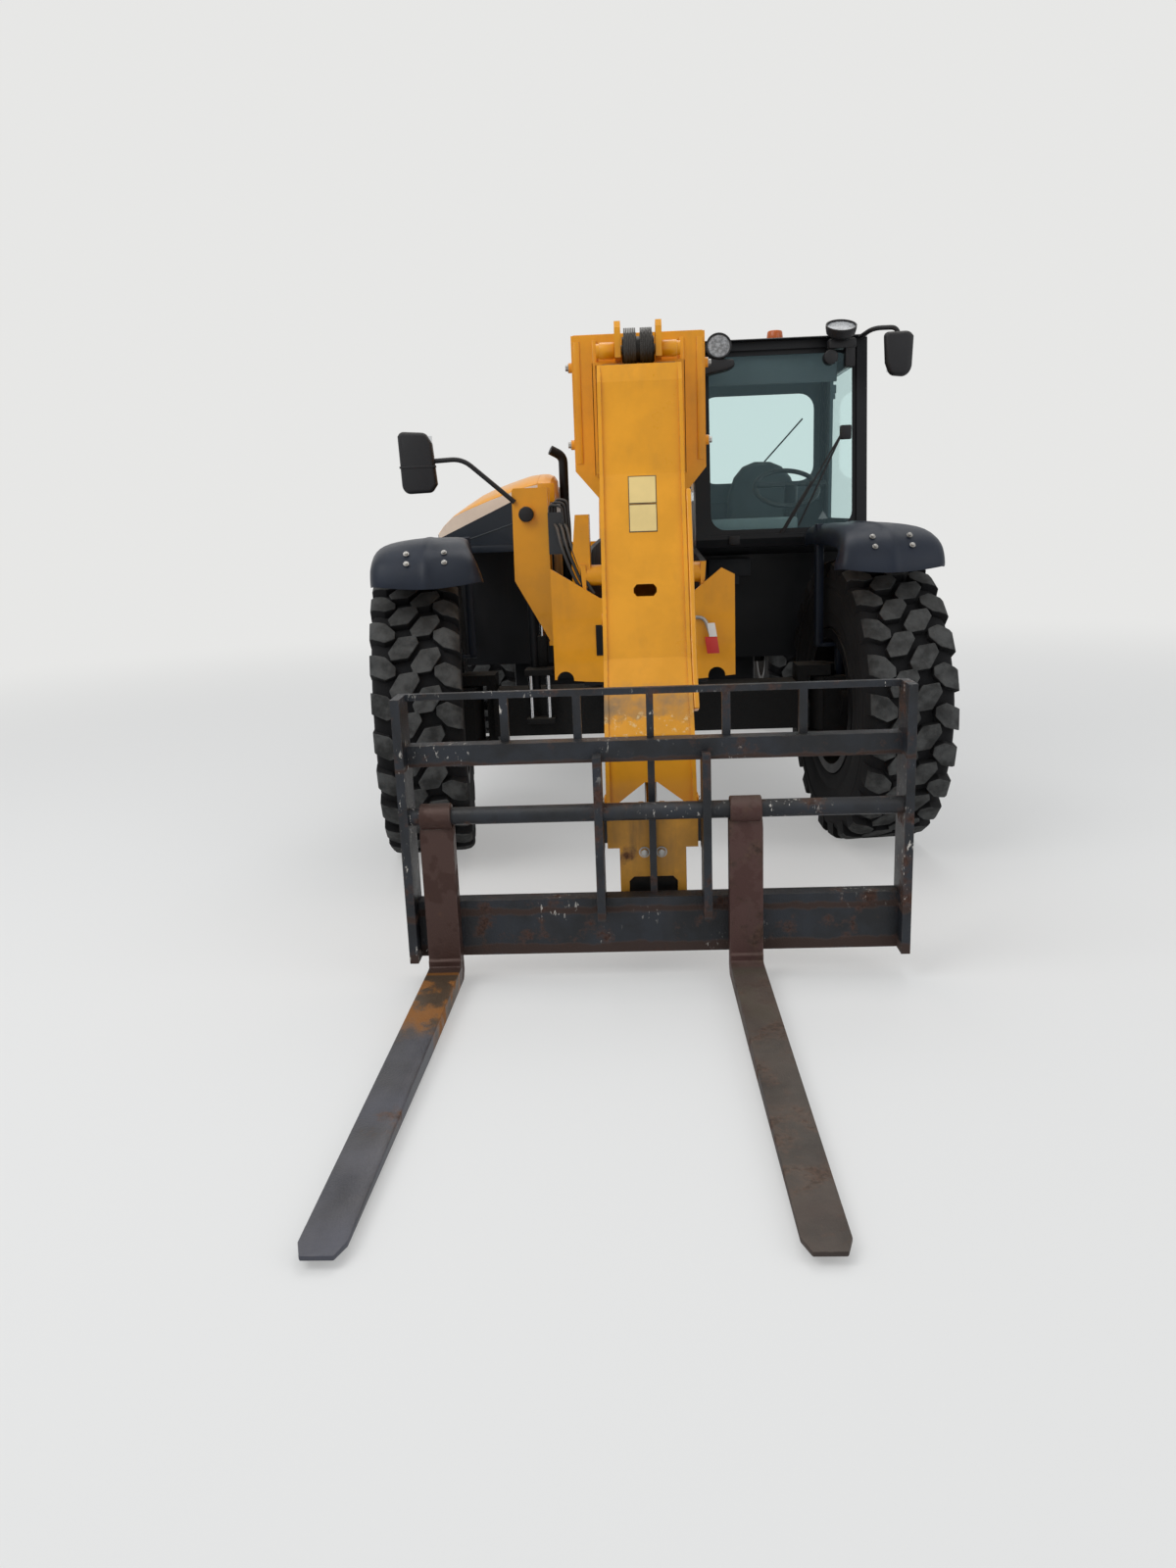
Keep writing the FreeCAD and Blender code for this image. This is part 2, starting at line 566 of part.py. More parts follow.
for side in SIDES:
    lo, hi = ("outer_half - 25", "outer_half") if side.sign > 0 else ("-outer_half", "-outer_half + 25")
    ear_pieces.append(prism(f"boom_ear_{side.name}", "YZ", EAR, (f"boom_x + {lo}", f"boom_x + {hi}")))
    lo, hi = ("50", "70") if side.sign > 0 else ("-70", "-50")
    ear_pieces.append(prism(f"lift_lug_{side.name}", "YZ", [
        ("lift_eye_y - 130", "boom_z - outer_tall + 5"), ("lift_eye_y - 50", "lift_eye_z - 60"),
        ("lift_eye_y + 50", "lift_eye_z - 60"), ("lift_eye_y + 130", "boom_z - outer_tall + 5"),
    ], (f"boom_x + {lo}", f"boom_x + {hi}")))


def pads(name, start, inner, outer, half):
    """Slide pads above and below a section, from one height to another."""
    found = []
    for side in SIDES:
        for level, up in (("top", 1), ("low", -1)):
            x = (half - 70, half) if side.sign > 0 else (-half, 70 - half)
            z = (inner, outer) if up > 0 else (f"-({outer})", f"-({inner})")
            found.append(box(f"{name}_{level}_{side.name}", (f"boom_x + {x[0]}", f"boom_x + {x[1]}"),
                             (start, f"{start} + 110"), (f"boom_z + {z[0]}", f"boom_z + {z[1]}")))
    return found


outer_pads = pads("outer_pad", "outer_front + 20", "middle_tall + run_gap", "middle_tall + 15", 160)
middle_pads = pads("middle_front_pad", "middle_front + 10", "inner_tall + run_gap", "middle_tall - 5", 140)
middle_pads += pads("middle_rear_pad", "middle_rear - 120", "middle_tall - 5", "outer_tall - boom_wall - run_gap", 160)
inner_pads = pads("inner_rear_pad", "inner_rear - 120", "inner_tall - 5", "middle_tall - boom_wall - run_gap", 140)
BOSS_HEIGHTS = ("collar_top - 113", "collar_low + 240")
bosses = [rod(f"collar_boss_{i}", "20", "x", ("boom_x - collar_half - 16", "boom_x + collar_half + 16"),
              "collar_rear - 75", z) for i, z in enumerate(BOSS_HEIGHTS)]
bosses = [cut(f"collar_boss_pair_{i}", boss, [box(f"boss_middle_{i}", ("boom_x - collar_half + 2", "boom_x + collar_half - 2"),
              ("collar_rear - 120", "collar_rear - 30"), (f"{z} - 30", f"{z} + 30"))])
          for i, (boss, z) in enumerate(zip(bosses, BOSS_HEIGHTS))]
outer_solid = fuse("outer_boom_solid", [outer_tube, collar] + ear_pieces + outer_pads + bosses)
outer_boom = cut("outer_boom", outer_solid, [
    rod("pivot_bore", "pivot_r + 0.05", "x", ("boom_x - 400", "boom_x + 400"), "pivot_y", "pivot_z")])
middle_tube = tube("middle_tube", "middle_half", "middle_tall", "boom_wall", "middle_front", "middle_rear")
inner_tube = tube("inner_tube", "inner_half", "inner_tall", "boom_wall", "inner_front", "inner_rear")
middle_boom = fuse("middle_boom", [middle_tube] + middle_pads)
inner_boom = fuse("inner_boom", [inner_tube] + inner_pads)

# Sheave of the extension chain, on the front of the middle section
sheave_y, sheave_z = "middle_front - 70", "boom_z + middle_tall + 33"
SHEAVE_LUG = [
    ("middle_front - 125", "boom_z + middle_tall + seat_gap"), ("middle_front - 125", "boom_z + middle_tall + 110"),
    ("middle_front - 105", "boom_z + middle_tall + 136"), ("middle_front - 35", "boom_z + middle_tall + 136"),
    ("outer_front - 8", "boom_z + middle_tall + 40"), ("outer_front - 8", "boom_z + middle_tall + seat_gap"),
]
SheavePiece = namedtuple("SheavePiece", "name low high radius")
SHEAVE = (
    SheavePiece("pin", 0, 165, "18"), SheavePiece("collar", 96, 108, "30"), SheavePiece("nut", 140, 165, "27"))
sheave_parts = [rod("sheave_wheel", "48", "x", ("boom_x - 63", "boom_x + 63"), sheave_y, sheave_z)]
sheave_parts += [flats(f"chain_{i}", 12, "63", (f"boom_x + {x}", f"boom_x + {x + 50}"), sheave_y, sheave_z)
                 for i, x in enumerate((-57, 7))]
for side in SIDES:
    for piece in SHEAVE:
        span = (piece.low, piece.high) if side.sign > 0 else (-piece.high, -piece.low)
        sheave_parts.append(rod(f"sheave_{piece.name}_{side.name}", piece.radius, "x",
                                (f"boom_x + {span[0]}", f"boom_x + {span[1]}"), sheave_y, sheave_z))
    span = (68, 92) if side.sign > 0 else (-92, -68)
    sheave_parts.append(prism(f"sheave_lug_{side.name}", "YZ", SHEAVE_LUG,
                              (f"boom_x + {span[0]}", f"boom_x + {span[1]}")))
sheave = fuse("chain_sheave", sheave_parts)

# Nose that drops from the inner section down to the carriage
NOSE = [
    ("-1110", "boom_z + inner_tall"), ("-1260", "boom_z + inner_tall"), ("-1300", "2060"), ("-1370", "1720"),
    ("-1640", "1050"), ("-1840", "800"), ("tilt_y - 65", "tilt_z + 40"), ("tilt_y - 60", "tilt_z - 50"),
    ("tilt_y", "tilt_z - 88"), ("tilt_y + 75", "tilt_z - 60"), ("-1560", "700"), ("-1380", "1030"),
    ("-1240", "1400"), ("-1110", "1700"),
]
FACE = [
    ("-1260", "boom_z + inner_tall"), ("-1288", "2060"), ("-1358", "1720"), ("-1628", "1055"), ("-1828", "805"),
    ("tilt_y - 53", "tilt_z + 42"), ("tilt_y - 48", "tilt_z - 48"), ("tilt_y - 34", "tilt_z - 48"),
    ("tilt_y - 38", "tilt_z + 40"), ("-1813", "797"), ("-1612", "1045"), ("-1340", "1712"), ("-1272", "2056"),
    ("-1240", "boom_z + inner_tall - 20"),
]
FACE_NOTCH = [
    ("boom_x - 22", "646"), ("boom_x + 22", "646"), ("boom_x + 112", "582"), ("boom_x + 112", "380"),
    ("boom_x - 112", "380"), ("boom_x - 112", "582"),
]
FACE_SLOT = [
    ("boom_x - 43", "1287"), ("boom_x - 31", "1273"), ("boom_x + 31", "1273"), ("boom_x + 43", "1287"),
    ("boom_x + 43", "1303"), ("boom_x + 31", "1317"), ("boom_x - 31", "1317"), ("boom_x - 43", "1303"),
]
BACK = [
    ("-1575", "700"), ("-1560", "700"), ("-1380", "1030"), ("-1240", "1400"), ("-1118", "1690"), ("-1133", "1696"),
    ("-1254", "1405"), ("-1394", "1036"),
]
across = ("boom_x - nose_half + 4", "boom_x + nose_half - 4")
nose = fuse("boom_nose", [
    prism("nose_cheek_left", "YZ", NOSE, ("boom_x + inner_half + seat_gap", "boom_x + nose_half")),
    prism("nose_cheek_right", "YZ", NOSE, ("boom_x - nose_half", "boom_x - inner_half - seat_gap")),
    cut("nose_face", prism("nose_front", "YZ", FACE, across), [
        prism("nose_notch", "XZ", FACE_NOTCH, ("-2000", "-1800")), prism("nose_slot", "XZ", FACE_SLOT, ("-1700", "-1400"))]),
    prism("nose_back", "YZ", BACK, across),
    rod("tilt_pin", "tilt_pin_r", "x", ("boom_x - nose_half - 12", "boom_x + nose_half + 12"), "tilt_y", "tilt_z"),
    rod("tilt_ram_pin", "24", "x", ("boom_x - nose_half - 8", "boom_x + nose_half + 8"), "tilt_base_y", "tilt_base_z"),
])

# Rams: each rod's eye sits between two cheeks
Ram = namedtuple("Ram", "name base eye barrel rod pin eye_r half rod_half back foot")
RAMS = (
    Ram("lift", ("lift_base_y", "lift_base_z"), ("lift_eye_y", "lift_eye_z"), "lift_barrel_r", "lift_rod_r",
        "30", "58", "76", "42", "-180", "150"),
    Ram("tilt", ("tilt_base_y", "tilt_base_z"), ("tilt_eye_y", "tilt_eye_z"), "tilt_barrel_r", "tilt_rod_r",
        "24", "40", "38", "24", "-250", "260"),
)
for ram in RAMS:
    barrel = fuse(f"{ram.name}_barrel_solid", [
        bar(f"{ram.name}_case", ram.barrel, "boom_x", ram.base, ram.eye, "0", ram.back),
        rod(f"{ram.name}_base_eye", ram.eye_r, "x", (f"boom_x - {ram.half}", f"boom_x + {ram.half}"), *ram.base),
    ])
    cut(f"{ram.name}_barrel", barrel, [
        bar(f"{ram.name}_bore", f"{ram.rod} + 1", "boom_x", ram.base, ram.eye, "100", "0"),
        rod(f"{ram.name}_pin_bore", f"{ram.pin} + 0.05", "x", ("boom_x - 200", "boom_x + 200"), *ram.base),
    ])
    fuse(f"{ram.name}_rod", [
        bar(f"{ram.name}_shaft", ram.rod, "boom_x", ram.base, ram.eye, ram.foot, "0"),
        rod(f"{ram.name}_rod_eye", f"{ram.eye_r} - 8", "x", (f"boom_x - {ram.rod_half}", f"boom_x + {ram.rod_half}"), *ram.eye),
    ])

# Quick hitch: ears on the tilt pin, cheeks for the ram and a front plate
HITCH_WINDOW = [
    ("boom_x - 85", "268"), ("boom_x - 68", "252"), ("boom_x + 68", "252"), ("boom_x + 85", "268"),
    ("boom_x + 85", "318"), ("boom_x + 68", "335"), ("boom_x - 68", "335"), ("boom_x - 85", "318"),
]
hitch_parts = [
    cut("hitch_plate", fuse("hitch_plate_solid", [
        box("hitch_upper", ("boom_x - 158", "boom_x + 158"), ("hitch_front", "hitch_back"), ("440", "600")),
        box("hitch_lower", ("boom_x - 116", "boom_x + 116"), ("hitch_front", "hitch_back"), ("228", "450")),
    ]), [prism("hitch_window", "XZ", HITCH_WINDOW, ("hitch_front - 10", "hitch_back + 10"))]),
    rod("hitch_bolt_left", "14", "y", ("hitch_front - 13", "hitch_back"), "boom_x + 30", "425"),
    rod("hitch_bolt_right", "14", "y", ("hitch_front - 13", "hitch_back"), "boom_x - 30", "425"),
]
HITCH_EAR = [
    ("tilt_y + 60", "tilt_z - 30"), ("tilt_y + 50", "tilt_z + 36"), ("tilt_y - 20", "tilt_z + 44"),
    ("hitch_back - 5", "560"), ("hitch_back - 5", "400"), ("tilt_y", "tilt_z - 70"),
]
HITCH_CHEEK = [
    ("tilt_eye_y + 30", "tilt_eye_z - 34"), ("tilt_eye_y + 38", "tilt_eye_z + 25"), ("tilt_y + 50", "tilt_z + 38"),
    ("tilt_y - 20", "tilt_z + 56"), ("hitch_back - 5", "580"), ("hitch_back - 5", "400"),
    ("tilt_y + 30", "tilt_eye_z - 40"),
]
for side in SIDES:
    for name, low, high, shape in (("ear", 76, 98, HITCH_EAR), ("cheek", 29, 46, HITCH_CHEEK)):
        span = (low, high) if side.sign > 0 else (-high, -low)
        hitch_parts.append(prism(f"hitch_{name}_{side.name}", "YZ", shape, (f"boom_x + {span[0]}", f"boom_x + {span[1]}")))
hitch = cut("quick_hitch", fuse("quick_hitch_solid", hitch_parts), [
    rod("hitch_bore", "tilt_pin_r + 0.05", "x", ("boom_x - 300", "boom_x + 300"), "tilt_y", "tilt_z")])

# Carriage: frame of posts and rails with the shaft the forks hang on
carriage_parts = [
    box("rail_top", ("carriage_left", "carriage_right"), ("rail_back - 25", "rail_back"), ("990", "1012")),
    box("rail_middle", ("carriage_left", "carriage_right"), ("rail_front", "rail_back"), ("770", "842")),
    box("rail_low", ("carriage_left", "carriage_right"), ("rail_front", "rail_back"), ("90", "290")),
    rod("fork_shaft", "shaft_r", "x", ("carriage_left", "carriage_right"), "shaft_y", "shaft_z"),
    box("centre_bar", ("boom_x - 12", "boom_x + 12"), ("rail_back - 25", "rail_back"), ("280", "1000")),
]
Post = namedtuple("Post", "name x half low high front")
POSTS = (
    Post("end_right", "carriage_left + 15", 15, "90", "1012", "shaft_y - 40"),
    Post("end_left", "carriage_right - 15", 15, "90", "1012", "shaft_y - 40"),
    Post("ear_right", "-181", 14, "230", "800", "shaft_y - 40"),
    Post("ear_left", "181", 14, "230", "800", "shaft_y - 40"),
    Post("stub_a", "-491", 14, "835", "1000", "rail_back - 25"),
    Post("stub_b", "-245", 14, "835", "1000", "rail_back - 25"),
    Post("stub_c", "255", 14, "835", "1000", "rail_back - 25"),
    Post("stub_d", "511", 14, "835", "1000", "rail_back - 25"),
)
for post in POSTS:
    carriage_parts.append(box(f"post_{post.name}", (f"{post.x} - {post.half}", f"{post.x} + {post.half}"),
                              (post.front, "rail_back"), (post.low, post.high)))
for side in SIDES:
    ear = ("boom_x + 167", "boom_x + 195") if side.sign > 0 else ("boom_x - 195", "boom_x - 167")
    pad_x = ("boom_x + 158 + seat_gap", "boom_x + 168") if side.sign > 0 else ("boom_x - 168", "boom_x - 158 - seat_gap")
    carriage_parts.append(box(f"hitch_ear_{side.name}", ear, ("rail_back - 1", "hitch_back"), ("440", "600")))
    carriage_parts.append(box(f"hitch_pad_{side.name}", pad_x, ("hitch_front", "hitch_back"), ("460", "580")))
carriage = fuse("carriage", carriage_parts)

FORK = [
    ("fork_back", "fork_high"), ("fork_face", "fork_high"), ("fork_face", "fork_top + 22"),
    ("fork_face - 22", "fork_top"), ("fork_tip", "fork_top"), ("fork_tip", "fork_top - 14"),
    ("fork_face - 500", "fork_low"), ("fork_back - 35", "fork_low"), ("fork_back", "fork_low + 35"),
]
for side, x in (("left", "fork_right"), ("right", "fork_left")):
    blade = prism(f"fork_{side}_blade", "YZ", FORK, (f"{x} - fork_half", f"{x} + fork_half"))
    hook = rod(f"fork_{side}_hook", "56", "x", (f"{x} - fork_half", f"{x} + fork_half"), "shaft_y", "shaft_z")
    cut(f"fork_{side}", fuse(f"fork_{side}_solid", [blade, hook]), [
        rod(f"fork_{side}_eye", "shaft_r + run_gap", "x", (f"{x} - 90", f"{x} + 90"), "shaft_y", "shaft_z"),
        prism(f"fork_{side}_nick_a", "XY", [(f"{x} - 70", "fork_tip - 5"), (f"{x} - 14", "fork_tip - 5"),
              (f"{x} - 70", "fork_tip + 70")], ("0", "200")),
        prism(f"fork_{side}_nick_b", "XY", [(f"{x} + 70", "fork_tip - 5"), (f"{x} + 70", "fork_tip + 70"),
              (f"{x} + 14", "fork_tip - 5")], ("0", "200")),
    ])

# Cab
CAB = [
    ("420", "cab_low"), ("420", "1330"), ("cab_front + 20", "cab_sill"), ("cab_front", "cab_sill + 40"),
    ("cab_front + 80", "cab_eave"), ("cab_rear - 20", "cab_eave"), ("cab_rear", "1500"), ("cab_rear - 20", "cab_low"),
]
CAB_ROOM = [
    ("420 + cab_wall", "cab_low + cab_wall"), ("420 + cab_wall", "1330 + 20"),
    ("cab_front + 60", "cab_sill + 40"), ("cab_front + 40", "cab_sill + 50"),
    ("cab_front + 125", "cab_eave + 20"), ("cab_rear - 60", "cab_eave + 20"), ("cab_rear - 40", "1500"),
    ("cab_rear - 60", "cab_low + cab_wall"),
]
DOOR = [
    ("470", "830"), ("470", "1370"), ("110", "cab_sill + 30"), ("160", "cab_eave - 40"), ("1040", "cab_eave - 40"), ("1060", "1500"),
    ("1040", "830"),
]
DOOR_LEAF = [
    ("478", "838"), ("478", "1374"), ("119", "cab_sill + 35"), ("167", "cab_eave - 48"), ("1032", "cab_eave - 48"), ("1052", "1500"),
    ("1032", "838"),
]
room = ("cab_in + cab_wall", "cab_out - cab_wall")
cab_cut = cut("cab_cut", prism("cab_block", "YZ", CAB, ("cab_in", "cab_out")), [
    prism("cab_room", "YZ", CAB_ROOM, room),
    box("windscreen_gap", ("cab_in + 55", "cab_out - 50"), ("cab_front - 50", "cab_front + 200"), ("cab_sill + 60", "cab_eave - 40")),
    box("rear_gap", ("cab_in + 70", "cab_out - 70"), ("cab_rear - 120", "cab_rear + 50"), ("1620", "cab_eave - 60")),
    box("boom_side_gap", ("cab_in - 20", "cab_in + cab_wall + 20"), ("180", "cab_rear - 90"), ("1620", "cab_eave - 60")),
    prism("door_gap", "YZ", DOOR, ("cab_out - cab_wall - 20", "cab_out + 20")),
])
HINGES = ("cab_low + 300", "cab_eave - 180")
hinge_seats = [box(f"hinge_seat_{i}", ("cab_out - 5", "cab_out + 24"), ("1062", "1085"), (f"{z} - 20", z))
               for i, z in enumerate(HINGES)]
hinge_tips = [rod(f"hinge_tip_{i}", "11", "z", (f"{z} - 20", z), "cab_out + 12", "1062") for i, z in enumerate(HINGES)]
cab_shell = fuse("cab_shell", [cab_cut] + hinge_seats + hinge_tips)
cab_roof = prism("cab_roof", "YZ", [
    ("cab_front + 50", "cab_eave + seat_gap"), ("cab_front + 40", "cab_eave + 30"), ("cab_front + 110", "roof_top"),
    ("cab_rear - 60", "roof_top"), ("cab_rear + 10", "cab_eave + 30"), ("cab_rear", "cab_eave + seat_gap"),
], ("cab_in - 5", "cab_out - 5"))
cab_glass = gather("cab_glass", [
    prism("windscreen", "YZ", [("cab_front + 21", "cab_sill + 61"), ("cab_front + 99", "cab_eave - 41"),
          ("cab_front + 107", "cab_eave - 41"), ("cab_front + 29", "cab_sill + 61")], ("cab_in + 55.3", "cab_out - 50.3")),
    box("rear_glass", ("cab_in + 70.3", "cab_out - 70.3"), ("cab_rear - 35", "cab_rear - 27"), ("1620.3", "cab_eave - 60.3")),
    box("boom_side_glass", ("cab_in + 16", "cab_in + 24"), ("180.3", "cab_rear - 90.3"), ("1620.3", "cab_eave - 60.3")),
])
door = fuse("cab_door", [cut("door_cut", prism("door_leaf", "YZ", DOOR_LEAF, ("cab_out - 38", "cab_out - 2")), [
    prism("door_window", "YZ", [("165", "1500"), ("220", "cab_eave - 100"), ("980", "cab_eave - 100"), ("1000", "1500")],
          ("cab_out - 60", "cab_out + 20"))])] + [
    rod(f"hinge_knuckle_{i}", "11", "z", (f"{z} + seat_gap", f"{z} + 55"), "cab_out + 12", "1062")
    for i, z in enumerate(HINGES)] + [
    box(f"hinge_strap_{i}", ("cab_out + 1", "cab_out + 14"), ("980", "1056"), (f"{z} + 5", f"{z} + 50"))
    for i, z in enumerate(HINGES)] + [
    box(f"hinge_foot_{i}", ("cab_out - 4", "cab_out + 2"), ("980", "1025"), (f"{z} + 5", f"{z} + 50"))
    for i, z in enumerate(HINGES)])
door_glass = prism("door_glass", "YZ", [("166.5", "1501"), ("221.5", "cab_eave - 101"), ("979", "cab_eave - 101"), ("999", "1501")],
                   ("cab_out - 24", "cab_out - 16"))
seat = fuse("seat", [
    box("seat_base", ("560", "960"), ("640", "1060"), ("cab_low + cab_wall + seat_gap", "1330")),
    box("seat_pad", ("530", "990"), ("620", "1080"), ("1320", "1440")),
    box("seat_back", ("570", "950"), ("970", "1080"), ("1400", "1830")),
])
steering = fuse("steering_column", [
    bar("column", "35", "800", ("480", "1380"), ("400", "1690")),
    box("dash", ("580", "1020"), ("462", "540"), ("cab_low + cab_wall + seat_gap", "1420")),
    prism("wheel_disc", "YZ", [("390", "1680"), ("396", "1702"), ("416", "1696"), ("410", "1674")], ("620", "980")),
])
lamps = gather("roof_lamps", [
    rod("beacon", "52", "z", ("roof_top + seat_gap", "roof_top + 62"), "728", "520"),
    fuse("lamp_left", [
        rod("lamp_left_can", "56", "y", ("cab_front - 35", "cab_front + 25"), "987", "cab_eave + 44"),
        box("lamp_left_foot", ("975", "999"), ("cab_front + 20", "cab_front + 40 - seat_gap"), ("cab_eave + 10", "cab_eave + 48")),
    ]),
    fuse("lamp_right", [
        rod("lamp_right_can", "46", "y", ("cab_front - 30", "cab_front + 30"), "408", "cab_eave - 18"),
        box("lamp_right_foot", ("398", "418"), ("cab_front + 10", "cab_front + 40 - seat_gap"), ("cab_eave + 10", "cab_eave + 40")),
    ]),
])
mirrors = gather("mirrors", [
    fuse("mirror_left", [
        box("mirror_left_case", ("1152", "1304"), ("-135", "-75"), ("cab_eave - 214", "cab_eave - 3")),
        box("mirror_left_stem", ("1220", "1236"), ("-97", "-81"), ("cab_eave - 10", "cab_eave + 6")),
        box("mirror_left_arm", ("1080", "1236"), ("-97", "-79"), ("cab_eave - 6", "cab_eave + 12")),
        box("mirror_left_stay", ("1080", "1098"), ("-97", "cab_front + 40 - seat_gap"), ("cab_eave - 6", "cab_eave + 32")),
        box("mirror_left_foot", ("1060", "1098"), ("cab_front + 10", "cab_front + 40 - seat_gap"), ("cab_eave + 14", "cab_eave + 32")),
    ]),
    fuse("mirror_right", [
        box("mirror_right_case", ("-1075", "-895"), ("tower_y - 75", "tower_y - 15"), ("1688", "1962")),
        prism("mirror_right_arm", "XZ", [("-900", "1838"), ("-688", "1808"), ("-560", "1640"), ("-574", "1632"),
              ("-695", "1792"), ("-900", "1822")], ("tower_y - 28", "tower_y - 10 - seat_gap")),
    ]),
])

# Engine side
pod_shell = cut("pod_shell", box("pod_block", ("pod_out", "pod_in"), ("pod_front", "pod_rear"), ("pod_low", "pod_top")), [
    box("pod_room", ("pod_out + 15", "pod_in - 15"), ("pod_front + 15", "pod_rear - 15"), ("pod_low + 15", "pod_top + 20"))])
HOOD_HINGES = (600, 1560)
pod = fuse("engine_pod", [
    pod_shell,
    box("hood_bracket", ("pod_in - 5", "hood_in + 10"), ("520", "pod_rear - 60"), ("1400", "pod_top - 5")),
    box("hood_back", ("hood_in + seat_gap", "hood_in + 10"), ("520", "pod_rear - 60"), ("1400", "hood_top - 12")),
] + [
    box(f"hood_post_{y}", ("hood_in + seat_gap", "hood_in + 10"), (f"{y}", f"{y + 40}"), ("hood_top - 20", "hood_top + 8"))
    for y in HOOD_HINGES] + [
    rod(f"hood_pin_{y}", "8", "y", (f"{y}", f"{y + 40}"), "hood_in + 5", "hood_top + 8") for y in HOOD_HINGES])
engine = box("engine_block", ("pod_out + 60", "pod_in - 40"), ("pod_front + 120", "pod_rear - 150"),
             ("pod_low + 15 + seat_gap", "pod_top - 60"))
HOOD = [
    ("hood_out", "hood_low"), ("hood_out", "hood_low + 60"), ("hood_in - 30", "hood_top"), ("hood_in", "hood_top"),
    ("hood_in", "hood_low"),
]
HOOD_ROOM = [
    ("hood_out + 16", "hood_low - 20"), ("hood_out + 16", "hood_low + 46"), ("hood_in - 34", "hood_top - 18"),
    ("hood_in - 16", "hood_top - 18"), ("hood_in - 16", "hood_low - 20"),
]
hood_lid = cut("hood_lid", prism("hood_block", "XZ", HOOD, ("hood_front", "pod_rear")), [
    prism("hood_room", "XZ", HOOD_ROOM, ("hood_front + 16", "pod_rear - 16"))])
hood = fuse("engine_cover", [hood_lid] + [
    rod(f"hood_knuckle_{y}", "8", "y", (f"{y + 40} + seat_gap", f"{y + 100}"), "hood_in + 5", "hood_top + 8")
    for y in HOOD_HINGES] + [
    box(f"hood_strap_{y}", ("hood_in - 60", "hood_in + 5"), (f"{y + 40} + seat_gap", f"{y + 100}"),
        ("hood_top - 4", "hood_top + 6")) for y in HOOD_HINGES])
elbow = doc.addObject("Part::Torus", "exhaust_elbow")
elbow.Radius1 = 60
elbow.Radius2 = 32
elbow.Angle3 = 75
elbow.Placement.Rotation = FreeCAD.Rotation(V(1, 1, 1), 120)
put(elbow, "-405", "460", "1840")
exhaust = fuse("exhaust_pipe", [
    rod("exhaust_stack", "32", "z", ("1100", "1840"), "-405", "520"),
    rod("exhaust_inlet", "30", "x", ("pod_in + seat_gap", "-405"), "520", "1150"),
    elbow,
])
tank = box("hydraulic_tank", ("cab_in", "1110"), ("1200", "1700"), ("780", "1380"))
steps = gather("cab_steps", [
    box("step_low", ("960", "1120"), ("560", "960"), ("500", "530")),
    box("step_stay_front", ("990", "1010"), ("560", "590"), ("530", "cab_low - seat_gap")),
    box("step_stay_rear", ("990", "1010"), ("930", "960"), ("530", "cab_low - seat_gap")),
])
gear = gather("cab_gear", [
    box("valve_block", ("-420 + seat_gap", "-358"), ("tower_y - 40", "tower_y + 20"), ("1405", "1590")),
    box("horn_box", ("400", "520"), ("355", "420 - seat_gap"), ("1180", "1290")),
])
grille = gather("engine_grille", [
    box(f"louvre_{row}", ("pod_out - 12", "pod_out - seat_gap"), ("pod_front + 250", "pod_rear - 180"),
        (f"pod_low + {130 + 62 * row}", f"pod_low + {160 + 62 * row}")) for row in range(7)])
tail_lamps = gather("tail_lamps", [
    box(f"tail_lamp_{side.name}", (f"boom_x + {480 * side.sign} - 90", f"boom_x + {480 * side.sign} + 90"),
        ("tail_y - 60 + seat_gap", "tail_y - 28"), ("1010", "1105")) for side in SIDES])

NODES = [
    "chassis_frame", "front_apron", "levelling_tower", "levelling_ram", "counterweight", "front_axle",
    "rear_axle", "engine_block", "engine_pod", "hydraulic_tank", "exhaust_pipe", "cab_shell", "cab_roof", "cab_glass",
    "seat", "steering_column", "roof_lamps", "mirrors", "cab_steps",
    "knuckle_front_left", "knuckle_front_right", "knuckle_rear_left", "knuckle_rear_right",
    "fender_left", "fender_right",
    "tyre_front_left", "tyre_front_right", "tyre_rear_left", "tyre_rear_right",
    "rim_front_left", "rim_front_right", "rim_rear_left", "rim_rear_right",
    "front_steer_rod", "rear_steer_rod",
    "outer_boom", "middle_boom", "inner_boom", "boom_nose", "chain_sheave",
    "lift_barrel", "lift_rod", "tilt_barrel", "tilt_rod",
    "quick_hitch", "carriage", "fork_left", "fork_right", "cab_door", "door_glass", "engine_cover",
    "cab_gear", "engine_grille", "tail_lamps",
]

doc.recompute()
for obj in doc.Objects:
    state = {"Invalid", "Error"} & set(obj.State)
    if state:
        raise RuntimeError(f"{obj.Name} is {state}")
for name in NODES:
    obj = doc.getObject(name)
    if obj.Shape.isNull() or not obj.Shape.isValid():
        raise RuntimeError(f"{name} has no valid shape")
    obj.Label = name
    obj.Shape.exportStep(f"parts/{name}.step")
    bounds = obj.Shape.BoundBox
    print(f"{name}: {len(obj.Shape.Solids)} solids, {bounds.XLength:.0f} x {bounds.YLength:.0f} x {bounds.ZLength:.0f}")
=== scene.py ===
"""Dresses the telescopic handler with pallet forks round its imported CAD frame.

Lengths are metres in the part's frame: the ground is z 0, the front of the
machine looks along -y and its left side is +x.
"""
import logging
import math
from collections.abc import Callable
from dataclasses import dataclass, field
from enum import Enum

import bmesh
import bpy
from mathutils import Matrix, Vector


